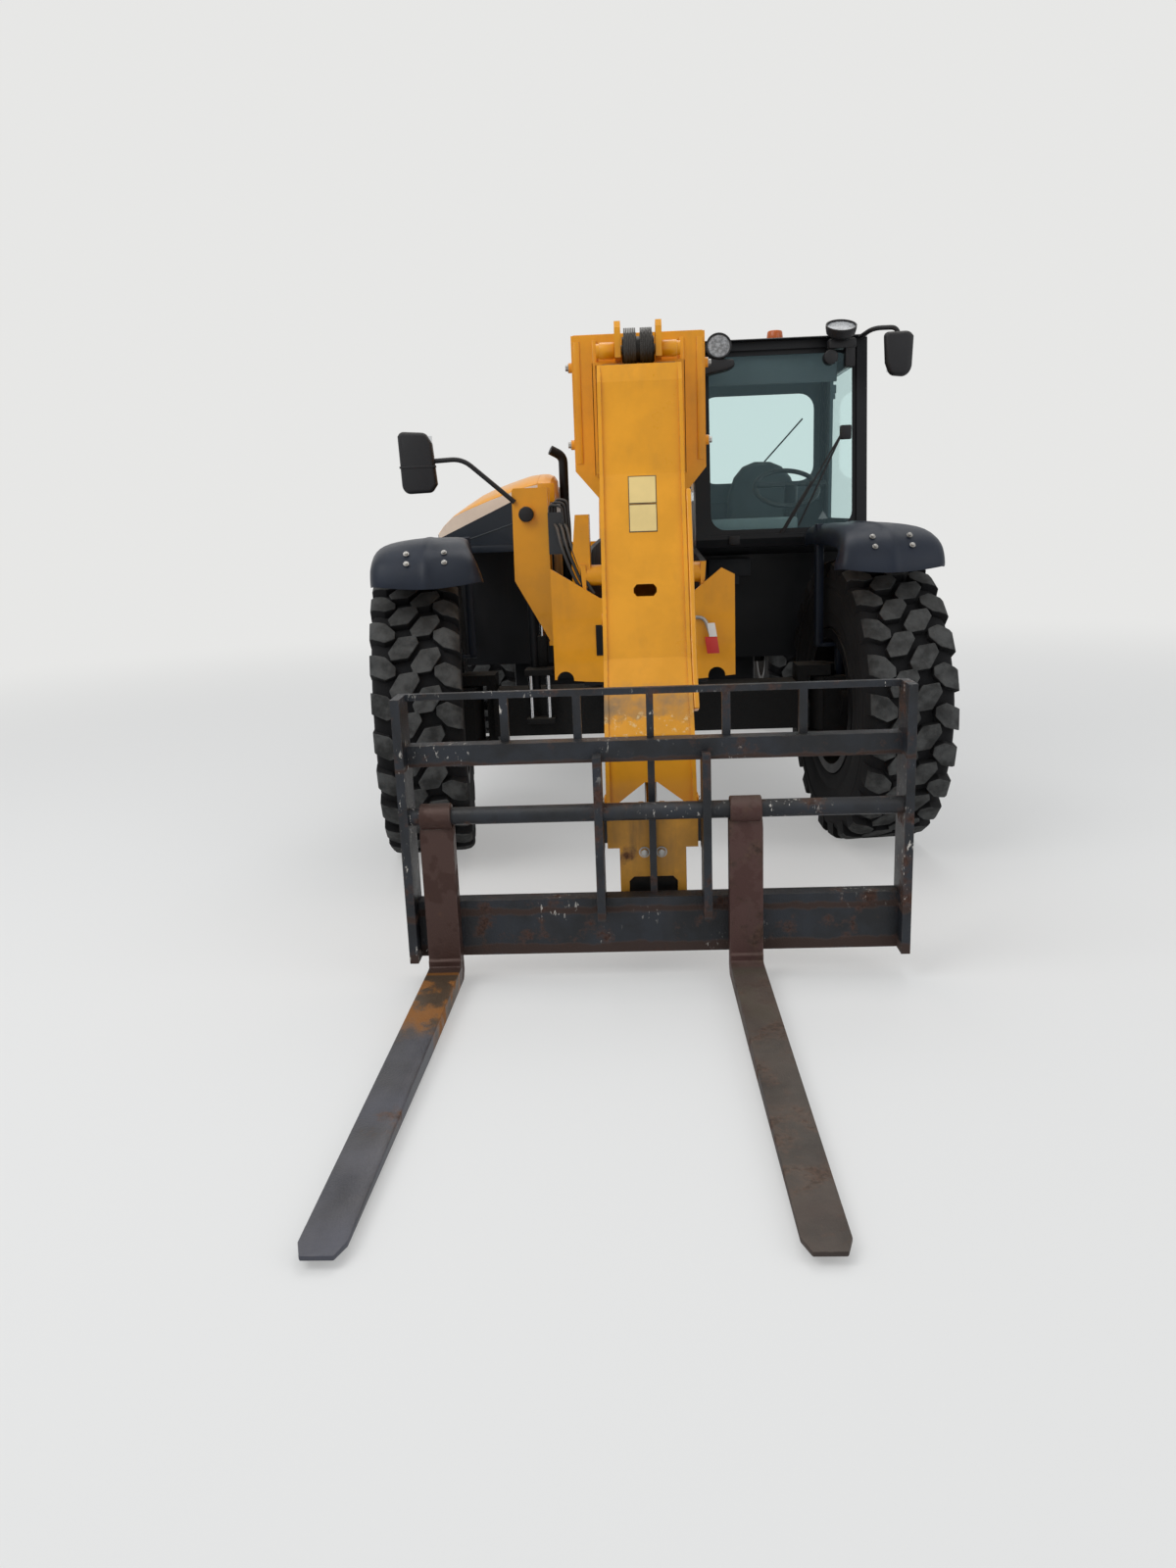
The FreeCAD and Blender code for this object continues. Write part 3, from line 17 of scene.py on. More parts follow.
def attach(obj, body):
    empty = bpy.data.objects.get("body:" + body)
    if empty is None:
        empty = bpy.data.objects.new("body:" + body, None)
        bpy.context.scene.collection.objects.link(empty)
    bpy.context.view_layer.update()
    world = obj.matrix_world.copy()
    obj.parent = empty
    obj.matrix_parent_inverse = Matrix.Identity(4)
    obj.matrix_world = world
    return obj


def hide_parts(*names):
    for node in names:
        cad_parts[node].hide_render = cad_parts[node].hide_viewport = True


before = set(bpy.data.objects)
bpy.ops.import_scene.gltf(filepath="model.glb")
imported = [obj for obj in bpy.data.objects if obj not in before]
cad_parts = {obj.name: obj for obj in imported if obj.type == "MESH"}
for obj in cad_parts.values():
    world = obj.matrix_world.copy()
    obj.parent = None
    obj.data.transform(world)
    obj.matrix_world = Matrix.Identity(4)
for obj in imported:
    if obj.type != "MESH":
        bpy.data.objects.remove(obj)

log = logging.getLogger("telehandler")

Point = tuple[float, float, float]
Colour = tuple[float, float, float]
Outline = list[tuple[float, float]]


class Side(Enum):
    """The two sides of the machine, each with the sign of its x."""

    LEFT = 1
    RIGHT = -1


# Nodes and finishes


class Net:
    """Lays out one node tree by short calls."""

    def __init__(self, tree: bpy.types.NodeTree) -> None:
        """Keep the tree.

        Args:
            tree: The tree that the calls add to.
        """
        self.tree = tree

    def node(self, kind: str, **settings: object) -> bpy.types.Node:
        """Add a node.

        Args:
            kind: The node's type, without its ShaderNode prefix.
            settings: Properties of the node.

        Returns:
            The new node.
        """
        made = self.tree.nodes.new("ShaderNode" + kind)
        for name, value in settings.items():
            setattr(made, name, value)
        return made

    def feed(self, socket: bpy.types.NodeSocket, value: object) -> None:
        """Link a socket to another one, or give it a plain value.

        Args:
            socket: The input to feed.
            value: An output socket, a number or a colour.
        """
        if isinstance(value, bpy.types.NodeSocket):
            self.tree.links.new(value, socket)
        elif isinstance(value, tuple) and len(value) == 3 and socket.type == "RGBA":
            socket.default_value = (*value, 1.0)
        else:
            socket.default_value = value

    def maths(self, operation: str, *values: object, clamp: bool = False) -> bpy.types.NodeSocket:
        """Work out a number.

        Args:
            operation: The name of the sum.
            values: Its two or three numbers or sockets.
            clamp: Whether the result stays from 0 to 1.

        Returns:
            The result's socket.
        """
        made = self.node("Math", operation=operation, use_clamp=clamp)
        for socket, value in zip(made.inputs, values):
            self.feed(socket, value)
        return made.outputs[0]

    def blend(self, share: object, under: object, over: object) -> bpy.types.NodeSocket:
        """Mix two colours.

        Args:
            share: How much of the second colour shows.
            under: The first colour.
            over: The second colour.

        Returns:
            The mixed colour.
        """
        made = self.node("Mix", data_type="RGBA")
        self.feed(made.inputs[0], share)
        self.feed(made.inputs[6], under)
        self.feed(made.inputs[7], over)
        return made.outputs[2]

    def band(self, value: object, low: float, high: float, start: float = 0.0, end: float = 1.0) -> bpy.types.NodeSocket:
        """Turn a range of values into another one, smoothly and clamped.

        Args:
            value: The number to look up.
            low: Where the ramp starts.
            high: Where the ramp ends.
            start: The result at the start.
            end: The result at the end.

        Returns:
            The result's socket.
        """
        made = self.node("MapRange", interpolation_type="SMOOTHSTEP")
        for name, number in (("Value", value), ("From Min", low), ("From Max", high), ("To Min", start), ("To Max", end)):
            self.feed(made.inputs[name], number)
        return made.outputs[0]

    def place(self, stretch: Point = (1.0, 1.0, 1.0)) -> bpy.types.NodeSocket:
        """Read the place on the object, stretched along its axes.

        Args:
            stretch: The pattern's density along x, y and z.

        Returns:
            The vector socket.
        """
        where = self.node("TexCoord").outputs["Object"]
        if stretch == (1.0, 1.0, 1.0):
            return where
        mapping = self.node("Mapping")
        mapping.inputs["Scale"].default_value = stretch
        self.feed(mapping.inputs["Vector"], where)
        return mapping.outputs[0]

    def noise(self, scale: object, detail: float = 4.0, rough: float = 0.55, stretch: Point = (1.0, 1.0, 1.0)) -> bpy.types.NodeSocket:
        """Read a cloudy pattern.

        Args:
            scale: How many lumps there are in a metre.
            detail: How many finer layers are added.
            rough: How strong the finer layers are.
            stretch: The pattern's density along x, y and z.

        Returns:
            The pattern's value, about 0.5 on average.
        """
        made = self.node("TexNoise")
        self.feed(made.inputs["Vector"], self.place(stretch))
        self.feed(made.inputs["Scale"], scale)
        self.feed(made.inputs["Detail"], detail)
        self.feed(made.inputs["Roughness"], rough)
        return made.outputs[0]

    def parts(self, vector: object) -> tuple[bpy.types.NodeSocket, ...]:
        """Split a vector into its x, y and z sockets."""
        made = self.node("SeparateXYZ")
        self.feed(made.inputs[0], vector)
        return tuple(made.outputs)

    def effect(self, name: str, **values: object) -> bpy.types.Node:
        """Place a shared effect.

        Args:
            name: The effect's group.
            values: Its inputs by name.

        Returns:
            The group node.
        """
        made = self.tree.nodes.new("ShaderNodeGroup")
        made.node_tree = bpy.data.node_groups[name]
        for key, value in values.items():
            self.feed(made.inputs[key], value)
        return made


@dataclass(frozen=True)
class Effects:
    """The node groups that several finishes share."""

    edge: str = "worn_edges"
    dust: str = "settled_dust"
    streaks: str = "grime_streaks"
    rust: str = "rust_bloom"
    spatter: str = "dried_spatter"
    grain: str = "fine_grain"

    def start(self, name: str, inputs: dict[str, float], outputs: tuple[str, ...]) -> tuple[Net, bpy.types.Node, bpy.types.Node]:
        """Make an empty group.

        Args:
            name: The group's name.
            inputs: Its inputs and their usual values.
            outputs: The names of what it puts out.

        Returns:
            Its net, its input node and its output node.
        """
        tree = bpy.data.node_groups.new(name, "ShaderNodeTree")
        for key, value in inputs.items():
            tree.interface.new_socket(key, in_out="INPUT", socket_type="NodeSocketFloat").default_value = value
        for key in outputs:
            tree.interface.new_socket(key, in_out="OUTPUT", socket_type="NodeSocketFloat")
        return Net(tree), tree.nodes.new("NodeGroupInput"), tree.nodes.new("NodeGroupOutput")

    def build(self) -> None:
        """Build every shared effect once."""
        self.build_edge()
        self.build_dust()
        self.build_streaks()
        self.build_rust()
        self.build_spatter()
        self.build_grain()

    def build_edge(self) -> None:
        """Build the mask of edges that are rubbed bare."""
        net, ins, outs = self.start(self.edge, {"Radius": 0.006, "Amount": 1.0, "Scale": 30.0}, ("Mask",))
        bevel = net.node("Bevel", samples=4)
        net.feed(bevel.inputs["Radius"], ins.outputs["Radius"])
        dot = net.node("VectorMath", operation="DOT_PRODUCT")
        net.feed(dot.inputs[0], bevel.outputs[0])
        net.feed(dot.inputs[1], net.node("NewGeometry").outputs["Normal"])
        edge = net.band(dot.outputs["Value"], 0.985, 0.86)
        broken = net.band(net.noise(ins.outputs["Scale"], 6.0, 0.65), 0.47, 0.60)
        net.feed(outs.inputs["Mask"], net.maths("MULTIPLY", net.maths("MULTIPLY", edge, broken), ins.outputs["Amount"]))

    def build_dust(self) -> None:
        """Build the mask of dust that lies on faces that look up."""
        net, ins, outs = self.start(self.dust, {"Scale": 5.0, "Amount": 0.5}, ("Mask",))
        up = net.parts(net.node("NewGeometry").outputs["Normal"])[2]
        lying = net.band(up, 0.15, 0.95)
        cloud = net.band(net.noise(ins.outputs["Scale"], 6.0, 0.6), 0.30, 0.70, 0.35, 1.0)
        net.feed(outs.inputs["Mask"], net.maths("MULTIPLY", net.maths("MULTIPLY", lying, cloud), ins.outputs["Amount"]))

    def build_streaks(self) -> None:
        """Build the mask of grime that has run down a side."""
        net, ins, outs = self.start(self.streaks, {"Scale": 9.0, "Amount": 0.5}, ("Mask",))
        run = net.noise(ins.outputs["Scale"], 5.0, 0.6, (1.0, 1.0, 0.12))
        cloud = net.noise(net.maths("MULTIPLY", ins.outputs["Scale"], 0.35), 3.0)
        both = net.maths("MULTIPLY", net.band(run, 0.48, 0.72), net.band(cloud, 0.42, 0.68))
        net.feed(outs.inputs["Mask"], net.maths("MULTIPLY", both, ins.outputs["Amount"]))

    def build_rust(self) -> None:
        """Build the mask and the shade of rust that blooms in patches."""
        net, ins, outs = self.start(self.rust, {"Scale": 6.0, "Amount": 0.5}, ("Mask", "Shade"))
        patch = net.noise(ins.outputs["Scale"], 8.0, 0.62)
        low = net.maths("SUBTRACT", 0.68, net.maths("MULTIPLY", ins.outputs["Amount"], 0.36))
        span = net.maths("DIVIDE", net.maths("SUBTRACT", patch, low), 0.10, clamp=True)
        net.feed(outs.inputs["Mask"], span)
        net.feed(outs.inputs["Shade"], net.noise(net.maths("MULTIPLY", ins.outputs["Scale"], 9.0), 5.0, 0.6))

    def build_spatter(self) -> None:
        """Build the mask of small pale splashes that have dried."""
        net, ins, outs = self.start(self.spatter, {"Scale": 60.0, "Amount": 0.5}, ("Mask",))
        spot = net.band(net.noise(ins.outputs["Scale"], 4.0, 0.7, (1.0, 1.0, 0.4)), 0.60, 0.65)
        zone = net.band(net.noise(3.5, 3.0), 0.52, 0.62)
        mask = net.maths("MULTIPLY", spot, zone)
        net.feed(outs.inputs["Mask"], net.maths("MULTIPLY", mask, ins.outputs["Amount"]))

    def build_grain(self) -> None:
        """Build the height of a fine grain."""
        net, ins, outs = self.start(self.grain, {"Scale": 200.0, "Strength": 0.5}, ("Height",))
        fine = net.noise(ins.outputs["Scale"], 3.0, 0.6)
        net.feed(outs.inputs["Height"], net.maths("MULTIPLY", fine, ins.outputs["Strength"]))


@dataclass(frozen=True)
class Finish:
    """One finish, worked out from its colour and how far it has aged."""

    name: str
    colour: Colour
    roughness: float = 0.45
    metallic: float = 0.0
    coat: float = 0.0
    vary: float = 0.10
    dust: float = 0.15
    dust_colour: Colour = (0.42, 0.37, 0.30)
    grime: float = 0.2
    wear: float = 0.0
    bare_colour: Colour = (0.13, 0.10, 0.085)
    rust: float = 0.0
    rust_colour: Colour = (0.19, 0.075, 0.028)
    spatter: float = 0.0
    grain: float = 0.0
    grain_scale: float = 220.0
    scale: float = 5.0
    shine: float = 0.5

    def make(self) -> bpy.types.Material:
        """Build the material.

        Returns:
            The material, ready to assign.
        """
        material = bpy.data.materials.new(self.name)
        material.use_nodes = True
        net = Net(material.node_tree)
        shader = net.tree.nodes["Principled BSDF"]
        cloud = net.noise(self.scale, 6.0, 0.6)
        dark = tuple(c * (1.0 - self.vary * 1.6) for c in self.colour)
        light = tuple(min(1.0, c * (1.0 + self.vary)) for c in self.colour)
        colour = net.blend(net.band(cloud, 0.32, 0.68), dark, light)
        rough = net.band(cloud, 0.3, 0.7, max(0.02, self.roughness - 0.07), min(1.0, self.roughness + 0.09))
        colour, rough = self.age(net, colour, rough)
        net.feed(shader.inputs["Base Color"], colour)
        net.feed(shader.inputs["Roughness"], rough)
        net.feed(shader.inputs["Metallic"], self.metallic)
        net.feed(shader.inputs["Coat Weight"], self.coat)
        net.feed(shader.inputs["Specular IOR Level"], self.shine)
        if self.grain:
            bump = net.node("Bump")
            bump.inputs["Distance"].default_value = 0.004
            bump.inputs["Strength"].default_value = 0.6
            grain = net.effect("fine_grain", Scale=self.grain_scale, Strength=self.grain)
            net.feed(bump.inputs["Height"], grain.outputs["Height"])
            net.feed(shader.inputs["Normal"], bump.outputs[0])
        return material

    def age(self, net: Net, colour: object, rough: object) -> tuple[object, object]:
        """Lay rust, wear, grime, dust and spatter over a colour.

        Args:
            net: The material's net.
            colour: The clean colour.
            rough: The clean roughness.

        Returns:
            The aged colour and roughness.
        """
        if self.rust:
            bloom = net.effect("rust_bloom", Scale=self.scale * 1.3, Amount=self.rust)
            deep = tuple(c * 0.42 for c in self.rust_colour)
            shade = net.blend(net.band(bloom.outputs["Shade"], 0.35, 0.65), deep, self.rust_colour)
            colour = net.blend(bloom.outputs["Mask"], colour, shade)
            rough = net.maths("MAXIMUM", rough, net.maths("MULTIPLY", bloom.outputs["Mask"], 0.85))
        if self.wear:
            edge = net.effect("worn_edges", Amount=self.wear).outputs["Mask"]
            colour = net.blend(edge, colour, self.bare_colour)
        if self.grime:
            run = net.effect("grime_streaks", Amount=self.grime).outputs["Mask"]
            colour = net.blend(run, colour, (0.035, 0.028, 0.022))
        if self.dust:
            lying = net.effect("settled_dust", Amount=self.dust).outputs["Mask"]
            colour = net.blend(lying, colour, self.dust_colour)
            rough = net.maths("MAXIMUM", rough, net.maths("MULTIPLY", lying, 0.9))
        if self.spatter:
            splash = net.effect("dried_spatter", Amount=self.spatter).outputs["Mask"]
            colour = net.blend(splash, colour, (0.62, 0.59, 0.54))
        return colour, rough


@dataclass(frozen=True)
class ForkSteel(Finish):
    """Fork steel: a brown shank, a band of fresh rust by the heel and a blue-grey blade."""

    rust_band: tuple[float, float] = (-2.19, -2.62)
    fresh_rust: Colour = (0.27, 0.105, 0.018)
    shank: Colour = (0.060, 0.030, 0.024)

    def age(self, net: Net, colour: object, rough: object) -> tuple[object, object]:
        """Lay the shank's brown and the rust band over the blade."""
        y = net.parts(net.place())[1]
        ragged = net.maths("ADD", y, net.maths("MULTIPLY", net.noise(7.0, 6.0, 0.65), 0.34))
        near = net.band(ragged, self.rust_band[1] + 0.10, self.rust_band[1] + 0.26)
        under = net.blend(near, colour, (0.060, 0.045, 0.030))
        line = net.band(y, self.rust_band[0] - 0.045, self.rust_band[0] - 0.030)
        patch = net.maths("MULTIPLY", near, net.band(net.noise(9.0, 6.0, 0.62), 0.44, 0.58, 0.10, 1.0))
        colour = net.blend(net.maths("MAXIMUM", patch, line), under, self.fresh_rust)
        colour = net.blend(net.band(y, self.rust_band[0] - 0.022, self.rust_band[0] - 0.012), colour, self.shank)
        return super().age(net, colour, net.maths("MAXIMUM", rough, net.maths("MULTIPLY", patch, 0.8)))


@dataclass(frozen=True)
class RailSteel(Finish):
    """Blue-black rails whose ledges and lower edges have rusted brown."""

    ledges: tuple[tuple[float, float], ...] = ((0.09, 0.128), (0.238, 0.260), (0.770, 0.782))
    brown: Colour = (0.048, 0.026, 0.019)

    def age(self, net: Net, colour: object, rough: object) -> tuple[object, object]:
        """Lay a ragged brown band along each ledge."""
        z = net.parts(net.place())[2]
        ragged = net.maths("ADD", z, net.maths("MULTIPLY", net.maths("SUBTRACT", net.noise(12.0, 5.0, 0.65), 0.5), 0.04))
        for low, high in self.ledges:
            strip = net.maths("MULTIPLY", net.band(ragged, low - 0.008, low + 0.004), net.band(ragged, high + 0.006, high - 0.006))
            colour = net.blend(net.maths("MULTIPLY", strip, 0.85), colour, self.brown)
            rough = net.maths("MAXIMUM", rough, net.maths("MULTIPLY", strip, 0.8))
        return super().age(net, colour, rough)


@dataclass(frozen=True)
class WornNose(Finish):
    """Yellow paint with a rubbed, dirty band where loads lean on the nose."""

    band_low: float = 0.80
    band_high: float = 0.985

    def age(self, net: Net, colour: object, rough: object) -> tuple[object, object]:
        """Lay the dark smear and the pale scratches of the band over the paint."""
        z = net.parts(net.place())[2]
        ragged = net.maths("ADD", z, net.maths("MULTIPLY", net.maths("SUBTRACT", net.noise(9.0, 6.0, 0.7), 0.5), 0.16))
        smear = net.maths("MULTIPLY", net.band(ragged, self.band_low + 0.04, self.band_low + 0.07),
                          net.band(ragged, self.band_high, self.band_high - 0.09))
        smear = net.maths("MULTIPLY", smear, net.band(net.noise(5.0, 5.0, 0.6), 0.34, 0.60, 0.25, 0.9))
        colour = net.blend(smear, colour, (0.20, 0.145, 0.085))
        low = net.maths("MULTIPLY", net.band(z, self.band_low - 0.06, self.band_low), net.band(z, 0.90, 0.85))
        scratch = net.maths("MULTIPLY", low, net.band(net.noise(34.0, 6.0, 0.7), 0.56, 0.62))
        colour = net.blend(net.maths("MULTIPLY", scratch, 0.6), colour, (0.80, 0.66, 0.36))
        return super().age(net, colour, net.maths("MAXIMUM", rough, net.maths("MULTIPLY", smear, 0.8)))


@dataclass(frozen=True)
class Glass:
    """Clear safety glass with a slight tint, and a faint painted glow of pale blue light."""

    name: str
    tint: Colour
    roughness: float = 0.02
    painted_glow: float = 0.0

    def make(self) -> bpy.types.Material:
        """Build the material."""
        material = bpy.data.materials.new(self.name)
        material.use_nodes = True
        net = Net(material.node_tree)
        shader = net.tree.nodes["Principled BSDF"]
        net.feed(shader.inputs["Base Color"], self.tint)
        smear = net.band(net.noise(3.0, 5.0), 0.45, 0.75, self.roughness, self.roughness + 0.06)
        net.feed(shader.inputs["Roughness"], smear)
        shader.inputs["Transmission Weight"].default_value = 1.0
        shader.inputs["IOR"].default_value = 1.05
        shader.inputs["Specular IOR Level"].default_value = 0.9
        # Painted light: the glass glows faintly pale blue though it is no lamp, as a painted sheen.
        net.feed(shader.inputs["Emission Color"], (0.55, 0.80, 0.88))
        shader.inputs["Emission Strength"].default_value = self.painted_glow
        return material


class Palette:
    """Every finish of the machine, built when it is first asked for."""

    FINISHES = (
        Finish("yellow_paint", (0.80, 0.335, 0.006), 0.34, coat=0.15, vary=0.05, dust=0.04, grime=0.16, wear=0.3, shine=0.4),
        Finish("grimy_yellow", (0.70, 0.32, 0.03), 0.5, vary=0.16, dust=0.2, grime=0.75, wear=0.7, rust=0.18),
        Finish("cab_black", (0.007, 0.008, 0.010), 0.40, vary=0.08, dust=0.03, grime=0.0, wear=0.0, shine=0.25),
        Finish("dark_paint", (0.007, 0.008, 0.010), 0.55, vary=0.2, dust=0.10, dust_colour=(0.13, 0.12, 0.11), grime=0.2,
               wear=0.2, shine=0.25),
        Finish("body_navy", (0.012, 0.018, 0.028), 0.36, coat=0.1, vary=0.1, dust=0.06, grime=0.1, wear=0.1, shine=0.35),
        Finish("rim_paint", (0.007, 0.007, 0.008), 0.5, vary=0.2, dust=0.10, grime=0.0, wear=0.15, grain=0.2, shine=0.3),
        Finish("rubber", (0.009, 0.009, 0.010), 0.86, vary=0.28, dust=0.08, dust_colour=(0.08, 0.078, 0.072),
               grime=0.0, grain=0.5, grain_scale=160.0, shine=0.25),
        Finish("tread_rubber", (0.058, 0.059, 0.058), 0.92, vary=0.35, dust=0.25, dust_colour=(0.15, 0.145, 0.135),
               grime=0.0, grain=0.6, grain_scale=90.0, scale=14.0, shine=0.2),
        Finish("fender_plastic", (0.010, 0.015, 0.027), 0.42, vary=0.10, dust=0.04, dust_colour=(0.09, 0.095, 0.105),
               grime=0.0, grain=0.15, grain_scale=600.0, shine=0.25),
        Finish("black_plastic", (0.014, 0.014, 0.016), 0.5, dust=0.08, grime=0.0, grain=0.12, grain_scale=700.0, shine=0.3),
        Finish("cast_iron", (0.008, 0.008, 0.008), 0.7, vary=0.3, dust=0.12, grime=0.0, grain=0.8, grain_scale=120.0, shine=0.2),
        RailSteel("rusty_frame", (0.013, 0.016, 0.022), 0.45, metallic=0.2, vary=0.35, dust=0.06, grime=0.3, wear=0.4,
                  bare_colour=(0.12, 0.085, 0.07), rust=0.34, rust_colour=(0.075, 0.034, 0.023), spatter=0.9,
                  grain=0.6, grain_scale=150.0, scale=7.0),
        ForkSteel("brown_fork", (0.050, 0.036, 0.030), 0.62, metallic=0.3, vary=0.3, dust=0.12, grime=0.2, wear=0.3,
                  bare_colour=(0.20, 0.16, 0.13), rust=0.5, rust_colour=(0.085, 0.045, 0.030), grain=0.6,
                  grain_scale=150.0, scale=6.0, fresh_rust=(0.058, 0.036, 0.028), shank=(0.072, 0.033, 0.028)),
        ForkSteel("blue_fork", (0.060, 0.062, 0.078), 0.42, metallic=0.45, vary=0.25, dust=0.08, grime=0.25, wear=0.3,
                  bare_colour=(0.22, 0.20, 0.19), rust=0.20, rust_colour=(0.12, 0.055, 0.03), grain=0.5,
                  grain_scale=150.0, scale=4.0),
        WornNose("worn_nose", (0.80, 0.335, 0.006), 0.34, coat=0.15, vary=0.05, dust=0.04, grime=0.16, wear=0.35, shine=0.4),
        Finish("chain_steel", (0.060, 0.056, 0.052), 0.5, metallic=0.8, vary=0.3, dust=0.1, grime=0.4),
        Finish("bolt_zinc", (0.42, 0.41, 0.39), 0.42, metallic=0.85, vary=0.15, dust=0.1, grime=0.0),
        Finish("ram_chrome", (0.62, 0.63, 0.65), 0.14, metallic=1.0, vary=0.04, dust=0.0, grime=0.05),
        Finish("seat_fabric", (0.045, 0.052, 0.056), 0.9, vary=0.15, dust=0.15, grime=0.0, grain=0.5, grain_scale=500.0),
        Finish("hose_rubber", (0.018, 0.018, 0.019), 0.6, dust=0.2, grime=0.0),
        Finish("beacon_orange", (0.52, 0.105, 0.012), 0.3, coat=0.3, vary=0.03, dust=0.05, grime=0.0, shine=0.3),
        Finish("gear_grey", (0.022, 0.026, 0.032), 0.55, vary=0.15, dust=0.12, dust_colour=(0.12, 0.12, 0.12), grime=0.0),
        Finish("red_lens", (0.45, 0.015, 0.012), 0.2, coat=0.6, vary=0.03, dust=0.05, grime=0.0),
        Finish("lamp_mirror", (0.72, 0.73, 0.75), 0.12, metallic=1.0, vary=0.02, dust=0.0, grime=0.0),
        Finish("mirror_face", (0.70, 0.72, 0.74), 0.03, metallic=1.0, vary=0.02, dust=0.0, grime=0.0),
        # Painted highlight: the pale strip along the engine cover's front edge stands in for the light caught on that
        # edge.
        Finish("pale_stripe", (0.98, 0.80, 0.65), 0.45, vary=0.04, dust=0.05, grime=0.1),
        Finish("tag_white", (0.78, 0.77, 0.74), 0.5, vary=0.04, dust=0.0, grime=0.15),
        Finish("tag_red", (0.55, 0.03, 0.025), 0.5, vary=0.06, dust=0.0, grime=0.15),
        Finish("label_blank", (0.80, 0.60, 0.24), 0.5, vary=0.05, dust=0.0, grime=0.12),
        Finish("label_edge", (0.03, 0.026, 0.02), 0.5, vary=0.05, dust=0.0, grime=0.0),
        Finish("lamp_ribs", (0.26, 0.27, 0.28), 0.25, coat=0.4, vary=0.35, dust=0.0, grime=0.0, scale=60.0),
        Finish("dash_grey", (0.16, 0.21, 0.22), 0.6, vary=0.1, dust=0.1, grime=0.0),
        Finish("interior_grey", (0.050, 0.062, 0.072), 0.7, vary=0.1, dust=0.1, grime=0.0, grain=0.3, grain_scale=400.0),
        Glass("clear_glass", (0.80, 0.90, 0.89), painted_glow=0.022),
        Glass("lamp_glass", (0.95, 0.97, 0.97)),
    )

    def __init__(self) -> None:
        """Build the shared effects."""
        Effects().build()
        self.recipes = {finish.name: finish for finish in self.FINISHES}
        self.made: dict[str, bpy.types.Material] = {}

    def get(self, name: str) -> bpy.types.Material:
        """Return a finish's material, and build it the first time."""
        if name not in self.made:
            self.made[name] = self.recipes[name].make()
        return self.made[name]

    def paint(self, obj: bpy.types.Object, name: str) -> None:
        """Give a whole piece one finish."""
        obj.data.materials.clear()
        obj.data.materials.append(self.get(name))


# Modelling by hand


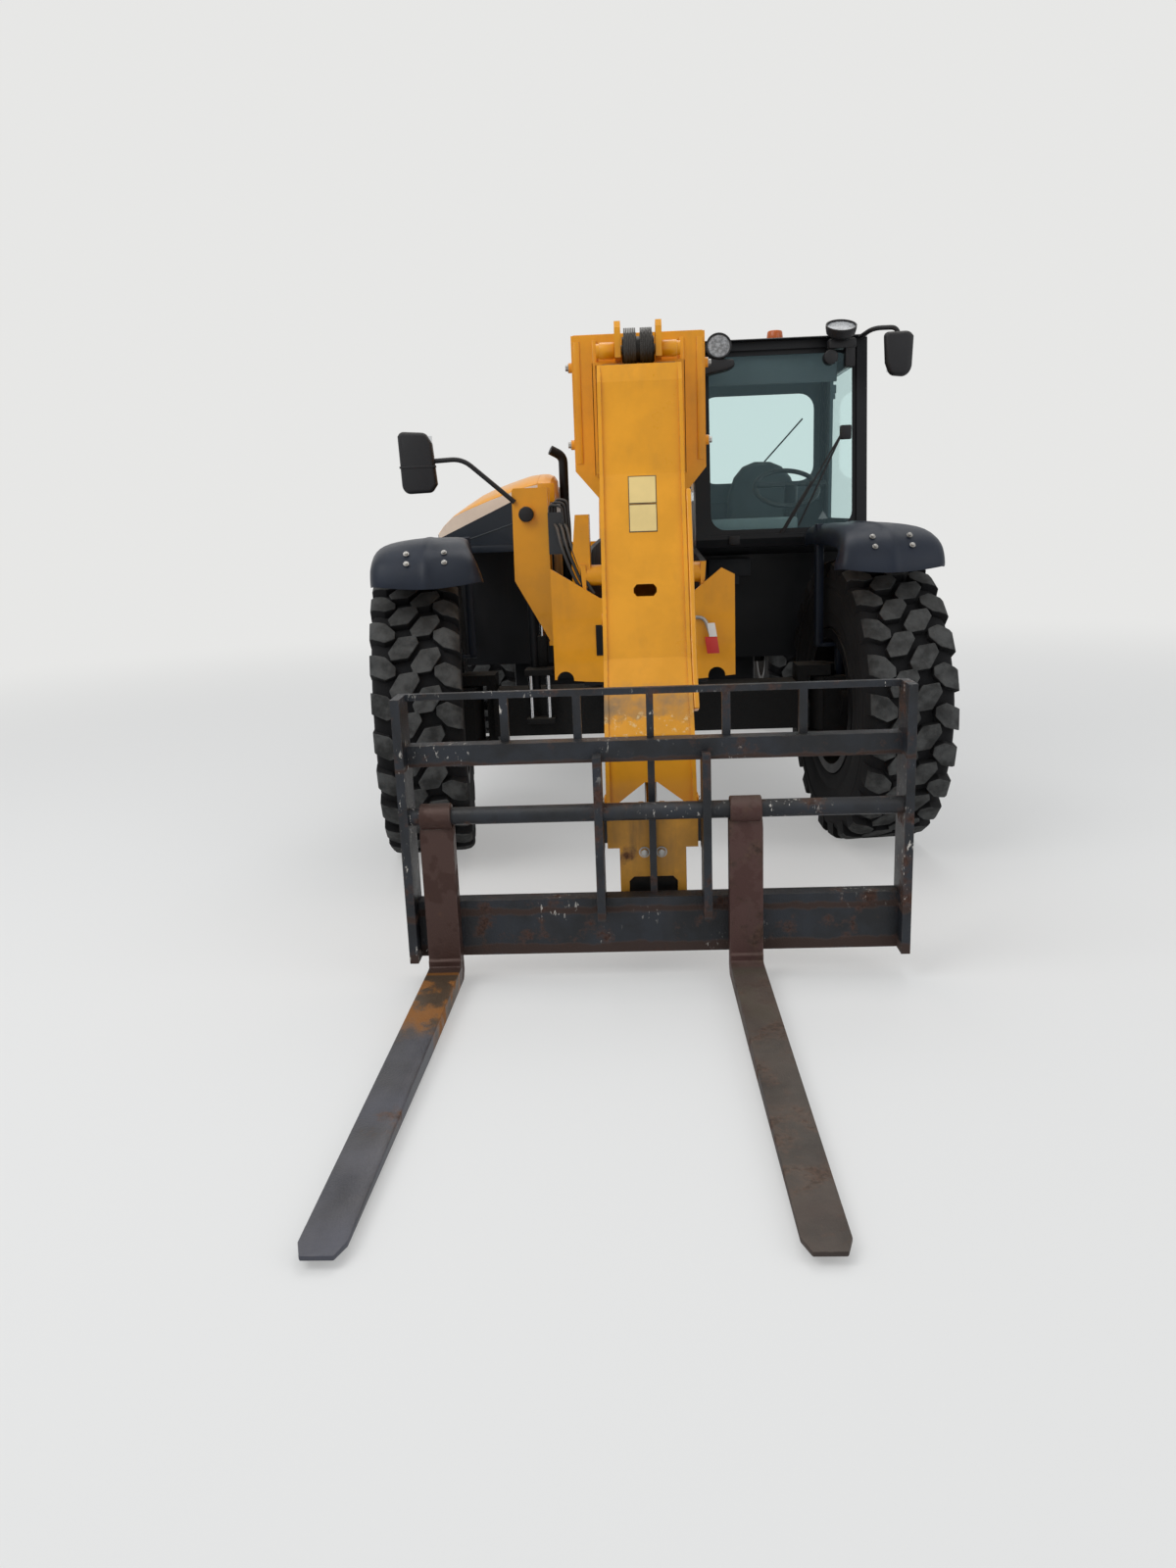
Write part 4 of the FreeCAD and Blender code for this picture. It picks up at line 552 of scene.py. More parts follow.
class Bench:
    """Models pieces with Blender's own tools, in the frame's place."""

    @staticmethod
    def clear() -> None:
        """Leave edit mode and deselect everything."""
        if bpy.context.object and bpy.context.object.mode != "OBJECT":
            bpy.ops.object.mode_set(mode="OBJECT")
        bpy.ops.object.select_all(action="DESELECT")

    @staticmethod
    def only(obj: bpy.types.Object) -> bpy.types.Object:
        """Make one piece the selected and active one."""
        Bench.clear()
        obj.select_set(True)
        bpy.context.view_layer.objects.active = obj
        return obj

    @staticmethod
    def settle(obj: bpy.types.Object) -> bpy.types.Object:
        """Put a piece's place, turn and size into its mesh."""
        Bench.only(obj)
        bpy.ops.object.transform_apply(location=True, rotation=True, scale=True)
        return obj

    @staticmethod
    def soften(obj: bpy.types.Object, width: float, segments: int = 2, angle: float = 40.0) -> bpy.types.Object:
        """Round the sharp edges of a piece.

        Args:
            obj: The piece.
            width: The width of the rounding.
            segments: How many facets it has.
            angle: Edges sharper than this many degrees are rounded.

        Returns:
            The same piece.
        """
        Bench.only(obj)
        if width:
            bevel = obj.modifiers.new("edges", "BEVEL")
            bevel.width = width
            bevel.segments = segments
            bevel.limit_method = "ANGLE"
            bevel.angle_limit = math.radians(angle)
            bevel.use_clamp_overlap = True
            bpy.ops.object.modifier_apply(modifier="edges")
        bpy.ops.object.shade_smooth_by_angle(angle=math.radians(32))
        return obj

    @staticmethod
    def block(name: str, low: Point, high: Point, edge: float = 0.004, segments: int = 2) -> bpy.types.Object:
        """Model a block with rounded edges.

        Args:
            name: The piece's name.
            low: Its lowest corner.
            high: Its highest corner.
            edge: The width of its rounding.
            segments: How many facets the rounding has.

        Returns:
            The piece.
        """
        Bench.clear()
        middle = [(a + b) / 2 for a, b in zip(low, high)]
        bpy.ops.mesh.primitive_cube_add(size=1, location=middle, scale=[b - a for a, b in zip(low, high)])
        obj = bpy.context.object
        obj.name = obj.data.name = name
        Bench.settle(obj)
        return Bench.soften(obj, edge, segments)

    @staticmethod
    def rod(name: str, start: Point, end: Point, radius: float, sides: int = 24, edge: float = 0.0,
            tip: float | None = None) -> bpy.types.Object:
        """Model a round bar or a cone between two points.

        Args:
            name: The piece's name.
            start: The middle of its first end.
            end: The middle of its other end.
            radius: The radius of its first end.
            sides: How many facets go round it.
            edge: The width of the rounding of its rims.
            tip: The radius of the other end, where it differs.

        Returns:
            The piece.
        """
        Bench.clear()
        way = Vector(end) - Vector(start)
        turn = way.to_track_quat("Z", "Y").to_euler()
        middle = (Vector(start) + Vector(end)) / 2
        bpy.ops.mesh.primitive_cone_add(vertices=sides, radius1=radius, radius2=radius if tip is None else tip,
                                        depth=way.length, location=middle, rotation=turn)
        obj = bpy.context.object
        obj.name = obj.data.name = name
        Bench.settle(obj)
        return Bench.soften(obj, edge, 2, 60.0)

    @staticmethod
    def sheet(name: str, outline: list[Point], depth: Point, edge: float = 0.002, segments: int = 2) -> bpy.types.Object:
        """Model a plate from its outline.

        Args:
            name: The piece's name.
            outline: The corners of one face, in order.
            depth: The way and length that the face is extruded.
            edge: The width of its rounding.
            segments: How many facets the rounding has.

        Returns:
            The piece.
        """
        Bench.clear()
        bpy.ops.mesh.primitive_circle_add(vertices=len(outline), radius=1.0, fill_type="NGON")
        obj = bpy.context.object
        obj.name = obj.data.name = name
        for corner, place in zip(obj.data.vertices, outline):
            corner.co = place
        bpy.ops.object.mode_set(mode="EDIT")
        bpy.ops.mesh.select_all(action="SELECT")
        bpy.ops.mesh.extrude_region_move(TRANSFORM_OT_translate={"value": depth})
        bpy.ops.mesh.select_all(action="SELECT")
        bpy.ops.mesh.normals_make_consistent(inside=False)
        bpy.ops.object.mode_set(mode="OBJECT")
        return Bench.soften(obj, edge, segments)

    @staticmethod
    def lathe(name: str, outline: Outline, centre: Point, axis: Point, sides: int = 32) -> bpy.types.Object:
        """Turn a closed outline about an axis.

        Args:
            name: The piece's name.
            outline: Places along the axis and radii, in order.
            centre: A point on the axis.
            axis: The axis's direction.
            sides: How many facets go round it.

        Returns:
            The piece.
        """
        Bench.clear()
        along = Vector(axis).normalized()
        out = along.orthogonal().normalized()
        bpy.ops.mesh.primitive_circle_add(vertices=len(outline), radius=1.0, fill_type="NOTHING")
        obj = bpy.context.object
        obj.name = obj.data.name = name
        for corner, (place, radius) in zip(obj.data.vertices, outline):
            corner.co = Vector(centre) + along * place + out * radius
        bpy.ops.object.mode_set(mode="EDIT")
        bpy.ops.mesh.select_all(action="SELECT")
        bpy.ops.mesh.spin(steps=sides, angle=math.tau, center=centre, axis=along)
        bpy.ops.mesh.select_all(action="SELECT")
        bpy.ops.mesh.remove_doubles(threshold=1e-5)
        bpy.ops.mesh.normals_make_consistent(inside=False)
        bpy.ops.object.mode_set(mode="OBJECT")
        return Bench.soften(obj, 0.0)

    @staticmethod
    def loft(name: str, sections: list[list[Point]], edge: float = 0.0) -> bpy.types.Object:
        """Skin a row of closed sections and close both ends.

        Args:
            name: The piece's name.
            sections: Rings of points, all with the same number.
            edge: The width of the rounding of its edges.

        Returns:
            The piece.
        """
        Bench.clear()
        rows, cols = len(sections), len(sections[0]) + 1
        bpy.ops.mesh.primitive_grid_add(x_subdivisions=cols - 1, y_subdivisions=rows - 1, size=2)
        obj = bpy.context.object
        obj.name = obj.data.name = name
        for row, section in enumerate(sections):
            for col in range(cols):
                obj.data.vertices[row * cols + col].co = section[col % len(section)]
        bpy.ops.object.mode_set(mode="EDIT")
        bpy.ops.mesh.select_all(action="SELECT")
        bpy.ops.mesh.remove_doubles(threshold=1e-6)
        bpy.ops.mesh.fill_holes(sides=0)
        bpy.ops.mesh.select_all(action="SELECT")
        bpy.ops.mesh.normals_make_consistent(inside=False)
        bpy.ops.object.mode_set(mode="OBJECT")
        return Bench.soften(obj, edge)

    @staticmethod
    def pipe(name: str, path: list[Point], radius: float, sides: int = 12, bend: float = 0.05) -> bpy.types.Object:
        """Model a bent pipe as a mesh.

        Args:
            name: The piece's name.
            path: The points it passes, with its ends first and last.
            radius: Its radius.
            sides: How many facets go round it.
            bend: How far from each corner the pipe starts to turn.

        Returns:
            The piece.
        """
        Bench.clear()
        bpy.ops.curve.primitive_bezier_curve_add()
        obj = bpy.context.object
        obj.name = obj.data.name = name
        curve = obj.data
        curve.splines.clear()
        spline = curve.splines.new("POLY")
        line = Bench.rounded(path, bend)
        spline.points.add(len(line) - 1)
        for point, place in zip(spline.points, line):
            point.co = (*place, 1.0)
        curve.dimensions = "3D"
        curve.bevel_depth = radius
        curve.bevel_resolution = max(1, sides // 4)
        curve.use_fill_caps = True
        obj.location = (0, 0, 0)
        Bench.only(obj)
        bpy.ops.object.convert(target="MESH")
        obj = bpy.context.object
        bpy.ops.object.mode_set(mode="EDIT")
        bpy.ops.mesh.select_all(action="SELECT")
        bpy.ops.mesh.remove_doubles(threshold=1e-5)
        bpy.ops.mesh.normals_make_consistent(inside=False)
        bpy.ops.object.mode_set(mode="OBJECT")
        return Bench.soften(obj, 0.0)

    @staticmethod
    def rounded(path: list[Point], bend: float) -> list[Vector]:
        """Round the corners of a path.

        Args:
            path: Its points.
            bend: How far from each corner it starts to turn.

        Returns:
            More points, with a short curve at each corner.
        """
        points = [Vector(p) for p in path]
        line = [points[0]]
        for before, corner, after in zip(points, points[1:], points[2:]):
            reach = min(bend, (corner - before).length * 0.45, (after - corner).length * 0.45)
            start = corner + (before - corner).normalized() * reach
            end = corner + (after - corner).normalized() * reach
            for step in range(7):
                t = step / 6
                line.append(start * (1 - t) ** 2 + corner * 2 * t * (1 - t) + end * t ** 2)
        line.append(points[-1])
        return line

    @staticmethod
    def copy(obj: bpy.types.Object, name: str, matrix: Matrix) -> bpy.types.Object:
        """Copy a piece, with a mesh of its own, to another place.

        Args:
            obj: The piece.
            name: The copy's name.
            matrix: How the copy is moved and turned.

        Returns:
            The copy.
        """
        twin = bpy.data.objects.new(name, obj.data.copy())
        twin.data.name = name
        bpy.context.scene.collection.objects.link(twin)
        twin.data.transform(matrix)
        if matrix.determinant() < 0:
            twin.data.flip_normals()
        return twin

    @staticmethod
    def join(name: str, pieces: list[bpy.types.Object]) -> bpy.types.Object:
        """Join several pieces into one.

        Args:
            name: The name of the joined piece.
            pieces: What is joined.

        Returns:
            The joined piece.
        """
        Bench.clear()
        for piece in pieces:
            piece.select_set(True)
        bpy.context.view_layer.objects.active = pieces[0]
        if len(pieces) > 1:
            bpy.ops.object.join()
        obj = bpy.context.object
        obj.name = obj.data.name = name
        return obj

    @staticmethod
    def carve(obj: bpy.types.Object, cutter: bpy.types.Object, operation: str = "DIFFERENCE") -> bpy.types.Object:
        """Take one piece out of another, and drop the cutter.

        Args:
            obj: The piece that stays.
            cutter: The shape that is taken out.
            operation: The name of the Boolean step.

        Returns:
            The piece.
        """
        Bench.only(obj)
        cut = obj.modifiers.new("cut", "BOOLEAN")
        cut.operation = operation
        cut.object = cutter
        cut.solver = "EXACT"
        bpy.ops.object.modifier_apply(modifier="cut")
        bpy.data.objects.remove(cutter)
        return obj

    @staticmethod
    def bolts(name: str, places: list[Point], way: Point, radius: float, washer: bool = True) -> bpy.types.Object:
        """Model hexagon bolt heads, each on a washer.

        Args:
            name: The piece's name.
            places: The middle of each seat.
            way: The way that the heads stand out.
            radius: The radius of a head.
            washer: Whether a washer lies under each.

        Returns:
            All the heads as one piece.
        """
        out = Vector(way).normalized()
        made = []
        for i, place in enumerate(places):
            seat = Vector(place)
            if washer:
                made.append(Bench.rod(f"{name}_washer_{i}", seat - out * 0.001, seat + out * radius * 0.22,
                                      radius * 1.45, 16))
            made.append(Bench.rod(f"{name}_head_{i}", seat, seat + out * radius * 1.05, radius, 6, radius * 0.12))
        return Bench.join(name, made)


@dataclass
class Part:
    """A sub-assembly that models its pieces and dresses them."""

    palette: Palette
    pieces: list[str] = field(default_factory=list)

    def seat(self, obj: bpy.types.Object, body: str, finish: str, slot: str, *stands_for: str) -> bpy.types.Object:
        """Paint a piece and let it ride on its body.

        Args:
            obj: The piece.
            body: The CAD body that carries it.
            finish: The finish it gets.
            slot: The record's material slot; not used.
            stands_for: The CAD nodes that it replaces.

        Returns:
            The piece.
        """
        if finish:
            self.palette.paint(obj, finish)
        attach(obj, body)
        if stands_for:
            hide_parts(*stands_for)
        self.pieces.append(obj.name)
        log.info("piece %s rides on %s", obj.name, body)
        return obj

    def build(self) -> None:
        """Model and dress every piece of the sub-assembly."""
        raise NotImplementedError


# Sub-assemblies


@dataclass
class CadPieces(Part):
    """The CAD pieces that show as they are, each with its finish."""

    finishes: dict[str, tuple[str, ...]] = field(default_factory=lambda: {
        "yellow_paint": ("front_apron", "levelling_tower", "counterweight", "engine_cover", "outer_boom",
                         "middle_boom", "inner_boom", "lift_barrel", "tilt_barrel"),
        "worn_nose": ("boom_nose",),
        "body_navy": ("engine_pod",),
        "grimy_yellow": ("quick_hitch",),
        "cab_black": ("cab_shell", "cab_door", "cab_roof"),
        "dark_paint": ("chassis_frame", "hydraulic_tank", "levelling_ram", "cab_steps", "engine_block", "exhaust_pipe"),
        "cast_iron": ("front_axle", "rear_axle", "knuckle_front_left", "knuckle_front_right", "knuckle_rear_left",
                      "knuckle_rear_right"),
        "rim_paint": ("rim_front_left", "rim_front_right", "rim_rear_left", "rim_rear_right"),
        "rubber": ("tyre_front_left", "tyre_front_right", "tyre_rear_left", "tyre_rear_right"),
        "fender_plastic": ("fender_left", "fender_right"),
        "black_plastic": ("mirrors", "steering_column", "roof_lamps", "engine_grille"),
        "gear_grey": ("cab_gear",),
        "red_lens": ("tail_lamps",),
        "clear_glass": ("cab_glass", "door_glass"),
        "ram_chrome": ("lift_rod", "tilt_rod", "front_steer_rod", "rear_steer_rod"),
        "chain_steel": ("chain_sheave",),
        "rusty_frame": ("carriage",),
        "blue_fork": ("fork_right",),
        "brown_fork": ("fork_left",),
        "seat_fabric": ("seat",),
    })

    def build(self) -> None:
        """Give every CAD node its finish."""
        for finish, names in self.finishes.items():
            for name in names:
                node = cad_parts[name]
                self.palette.paint(node, finish)
                Bench.only(node)
                bpy.ops.object.shade_smooth_by_angle(angle=math.radians(30))
                log.info("node %s has %s", name, finish)
        self.second_tone("engine_cover", "body_navy", lambda face: face.normal.y < -0.7 or face.center.z < 1.50)
        self.second_tone("engine_pod", "dark_paint", lambda face: face.normal.y < -0.7)
        self.second_tone("chain_sheave", "yellow_paint", lambda face: abs(face.center.x) > 0.0645)
        self.second_tone("chassis_frame", "yellow_paint", lambda face: face.center.y > 2.3 or
                         (face.center.y < -0.58 and face.center.z > 1.20))

    def second_tone(self, name: str, finish: str, chosen: Callable[[bpy.types.MeshPolygon], bool]) -> None:
        """Paint some faces of a node in a second finish.

        Args:
            name: The node.
            finish: The second finish.
            chosen: Tells whether a face gets it.
        """
        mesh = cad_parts[name].data
        mesh.materials.append(self.palette.get(finish))
        for face in mesh.polygons:
            if chosen(face):
                face.material_index = 1


class WheelPlace:
    """Where the wheels and fenders stand, and how they are turned."""

    KINGPIN = 0.847
    REACH = 0.210
    HEIGHT = 0.665
    ENDS = {"front": (-0.420, 7.0), "rear": (2.530, 0.0)}

    @classmethod
    def kingpin(cls, end: str, side: Side, height: float) -> Matrix:
        """Return the matrix of a knuckle's kingpin at some height.

        Args:
            end: The end of the machine.
            side: The side of the machine.
            height: The height above the ground.

        Returns:
            The place and turn of the knuckle.
        """
        y, steer = cls.ENDS[end]
        return Matrix.Translation((side.value * cls.KINGPIN, y, height)) @ Matrix.Rotation(math.radians(steer), 4, "Z")

    @classmethod
    def wheel(cls, end: str, side: Side) -> Matrix:
        """Return the matrix of a wheel whose outer face is drawn towards +x."""
        half_turn = Matrix.Rotation(0.0 if side is Side.LEFT else math.pi, 4, "Z")
        return cls.kingpin(end, side, cls.HEIGHT) @ half_turn @ Matrix.Translation((cls.REACH, 0, 0))


@dataclass
class Wheels(Part):
    """The four tyres with their block tread, and the nuts of the rims."""

    block_count: int = 24
    floor: float = 0.600
    crown: float = 0.6622
    half: Outline = field(default_factory=lambda: [
        (0.0, 0.628), (0.150, 0.627), (0.172, 0.619), (0.187, 0.602), (0.1935, 0.572), (0.1945, 0.548),
        (0.1915, 0.544), (0.1905, 0.536), (0.193, 0.532), (0.191, 0.480), (0.187, 0.430), (0.1845, 0.424),
        (0.1845, 0.416), (0.1865, 0.410), (0.1855, 0.372), (0.180, 0.352), (0.163, 0.351), (0.163, 0.3178)])
    middle: Outline = field(default_factory=lambda: [
        (-0.053, -0.060), (0.020, -0.051), (0.066, 0.020), (0.053, 0.060), (-0.020, 0.051), (-0.066, -0.020)])
    shoulder: Outline = field(default_factory=lambda: [
        (-0.194, 0.066), (-0.124, 0.046), (-0.081, -0.002), (-0.083, -0.040), (-0.128, -0.058), (-0.194, -0.026)])

    def build(self) -> None:
        """Build one tyre and copy it to the four wheels."""
        tyre = self.tyre()
        nuts = self.nuts()
        for end in WheelPlace.ENDS:
            for side in Side:
                name = f"{end}_{side.name.lower()}"
                matrix = WheelPlace.wheel(end, side)
                self.seat(Bench.copy(tyre, f"tread_tyre_{name}", matrix), f"{name}_wheel", "", "tyre", f"tyre_{name}")
                self.seat(Bench.copy(nuts, f"wheel_nuts_{name}", matrix), f"{name}_wheel", "bolt_zinc", "worn_steel")
        for obj in (tyre, nuts):
            bpy.data.objects.remove(obj)

    def tyre(self) -> bpy.types.Object:
        """Model a tyre about its own middle.

        Returns:
            The carcass with its four rows of blocks.
        """
        outline = self.half + [(-x, r) for x, r in reversed(self.half[1:])]
        carcass = Bench.lathe("carcass", outline, (0, 0, 0), (1, 0, 0), 96)
        self.palette.paint(carcass, "rubber")
        step = math.tau / self.block_count
        turned = [(-x, -y) for x, y in self.shoulder]
        unit = []
        table = (("left", -0.047, self.middle, 0.0), ("right", 0.047, self.middle, -0.37),
                 ("edge_left", 0.0, self.shoulder, -0.59), ("edge_right", 0.0, turned, 0.14))
        for name, across, outline, shift in table:
            block = self.block(f"block_{name}", [(x + across, y) for x, y in outline])
            block.data.transform(Matrix.Rotation(-shift * step, 4, "X"))
            unit.append(block)
        ring = Bench.join("tread_unit", unit)
        ringed = [Bench.copy(ring, f"tread_{i}", Matrix.Rotation(i * step, 4, "X")) for i in range(self.block_count)]
        bpy.data.objects.remove(ring)
        return Bench.join("tread_tyre", [carcass] + ringed)

    def block(self, name: str, outline: Outline) -> bpy.types.Object:
        """Model one tread block on top of the wheel.

        Args:
            name: The block's name.
            outline: Its corners across and round the tyre.

        Returns:
            The block, with its dusty top painted apart.
        """
        block = Bench.sheet(name, [(x, y, self.floor - 0.02) for x, y in outline],
                            (0, 0, self.crown - self.floor + 0.02), 0.0)
        bpy.ops.object.mode_set(mode="EDIT")
        for sign in (-1, 1):
            for across, height, lean in ((0.148, self.crown, 13.0), (0.178, 0.6545, 42.0)):
                bpy.ops.mesh.select_all(action="SELECT")
                normal = (sign * math.sin(math.radians(lean)), 0, math.cos(math.radians(lean)))
                bpy.ops.mesh.bisect(plane_co=(sign * across, 0, height), plane_no=normal, use_fill=True,
                                    clear_outer=True)
        bpy.ops.object.mode_set(mode="OBJECT")
        Bench.soften(block, 0.0022, 1, 30.0)
        for finish in ("rubber", "tread_rubber"):
            block.data.materials.append(self.palette.get(finish))
        for face in block.data.polygons:
            face.material_index = 1 if face.normal.z > 0.62 else 0
        return block

    def nuts(self) -> bpy.types.Object:
        """Model the ring of wheel nuts on the hub's face."""
        places = [(0.135, 0.070 * math.cos(a), 0.070 * math.sin(a)) for a in
                  (math.tau * i / 10 for i in range(10))]
        return Bench.bolts("wheel_nuts", places, (1, 0, 0), 0.012)


@dataclass
class Fenders(Part):
    """The two moulded fenders that turn with the front wheels."""

    profile: Outline = field(default_factory=lambda: [
        (-0.560, 1.290), (-0.549, 1.345), (-0.524, 1.398), (-0.484, 1.440), (-0.430, 1.468), (-0.360, 1.486),
        (-0.260, 1.494), (-0.100, 1.496), (0.060, 1.495), (0.140, 1.490), (0.190, 1.477), (0.220, 1.458)])
    section: Outline = field(default_factory=lambda: [
        (-0.245, 0.095), (-0.244, 0.055), (-0.236, 0.030), (-0.220, 0.014), (-0.192, 0.005), (-0.150, 0.001),
        (-0.060, 0.000), (-0.020, 0.000), (-0.010, -0.005), (0.010, -0.005), (0.020, 0.000), (0.060, 0.001),
        (0.124, 0.008), (0.178, 0.017), (0.212, 0.031), (0.233, 0.054), (0.243, 0.086), (0.245, 0.120)])
    middle: float = 0.140
    wall: float = 0.006

    def build(self) -> None:
        """Build one fender and its mirror image."""
        shell, bolts = self.shell(), self.bolts()
        for side in Side:
            name = side.name.lower()
            matrix = WheelPlace.kingpin("front", side, 0.0) @ Matrix.Scale(side.value, 4, (1, 0, 0))
            knuckle = f"front_{name}_knuckle"
            self.seat(Bench.copy(shell, f"fender_shell_{name}", matrix), knuckle, "fender_plastic", "fender_plastic",
                      f"fender_{name}")
            self.seat(Bench.copy(bolts, f"fender_bolts_{name}", matrix), knuckle, "bolt_zinc", "worn_steel")
        for obj in (shell, bolts):
            bpy.data.objects.remove(obj)

    def shell(self) -> bpy.types.Object:
        """Model the moulding with its bracket, about the kingpin."""
        Bench.clear()
        rows, cols = len(self.profile), len(self.section)
        bpy.ops.mesh.primitive_grid_add(x_subdivisions=cols - 1, y_subdivisions=rows - 1, size=2)
        obj = bpy.context.object
        obj.name = obj.data.name = "fender_shell"
        for row in range(rows):
            y, z = self.profile[row]
            before, after = self.profile[max(0, row - 1)], self.profile[min(rows - 1, row + 1)]
            along = Vector((after[0] - before[0], after[1] - before[1])).normalized()
            for col in range(cols):
                x, drop = self.section[col]
                rise = 0.030 * (x / 0.245) ** 2 * max(0.0, 1.0 - row / 4)
                lean = 0.055 * min(1.0, row / 5) * max(0.0, -x - 0.10) / 0.145
                place = (self.middle + x + lean, y + along.y * drop, z - along.x * drop + rise)
                obj.data.vertices[row * cols + col].co = place
        Bench.only(obj)
        wall = obj.modifiers.new("wall", "SOLIDIFY")
        wall.thickness = self.wall
        wall.offset = -1.0
        bpy.ops.object.modifier_apply(modifier="wall")
        smooth = obj.modifiers.new("smooth", "SUBSURF")
        smooth.levels = 1
        bpy.ops.object.modifier_apply(modifier="smooth")
        bpy.ops.object.mode_set(mode="EDIT")
        bpy.ops.mesh.select_all(action="SELECT")
        bpy.ops.mesh.normals_make_consistent(inside=False)
        bpy.ops.object.mode_set(mode="OBJECT")
        Bench.soften(obj, 0.0)
        bracket = (
            ("foot", (0.055, -0.020, 0.7933), (0.085, 0.020, 0.945)),
            ("reach", (-0.045, -0.020, 0.927), (0.085, 0.020, 0.945)),
            ("stay", (-0.045, -0.020, 0.927), (-0.010, 0.020, 1.492)),
        )
        return Bench.join("fender_shell", [obj] + [Bench.block(f"fender_{n}", low, high) for n, low, high in bracket])

    def bolts(self) -> bpy.types.Object:
        """Model the two pairs of bolts on the front slope."""
        places = [(self.middle + x, y, z) for x in (-0.080, 0.080) for y, z in ((-0.4855, 1.4405), (-0.5225, 1.4005))]
        return Bench.bolts("fender_bolts", places, (0, -0.72, 0.69), 0.0085)


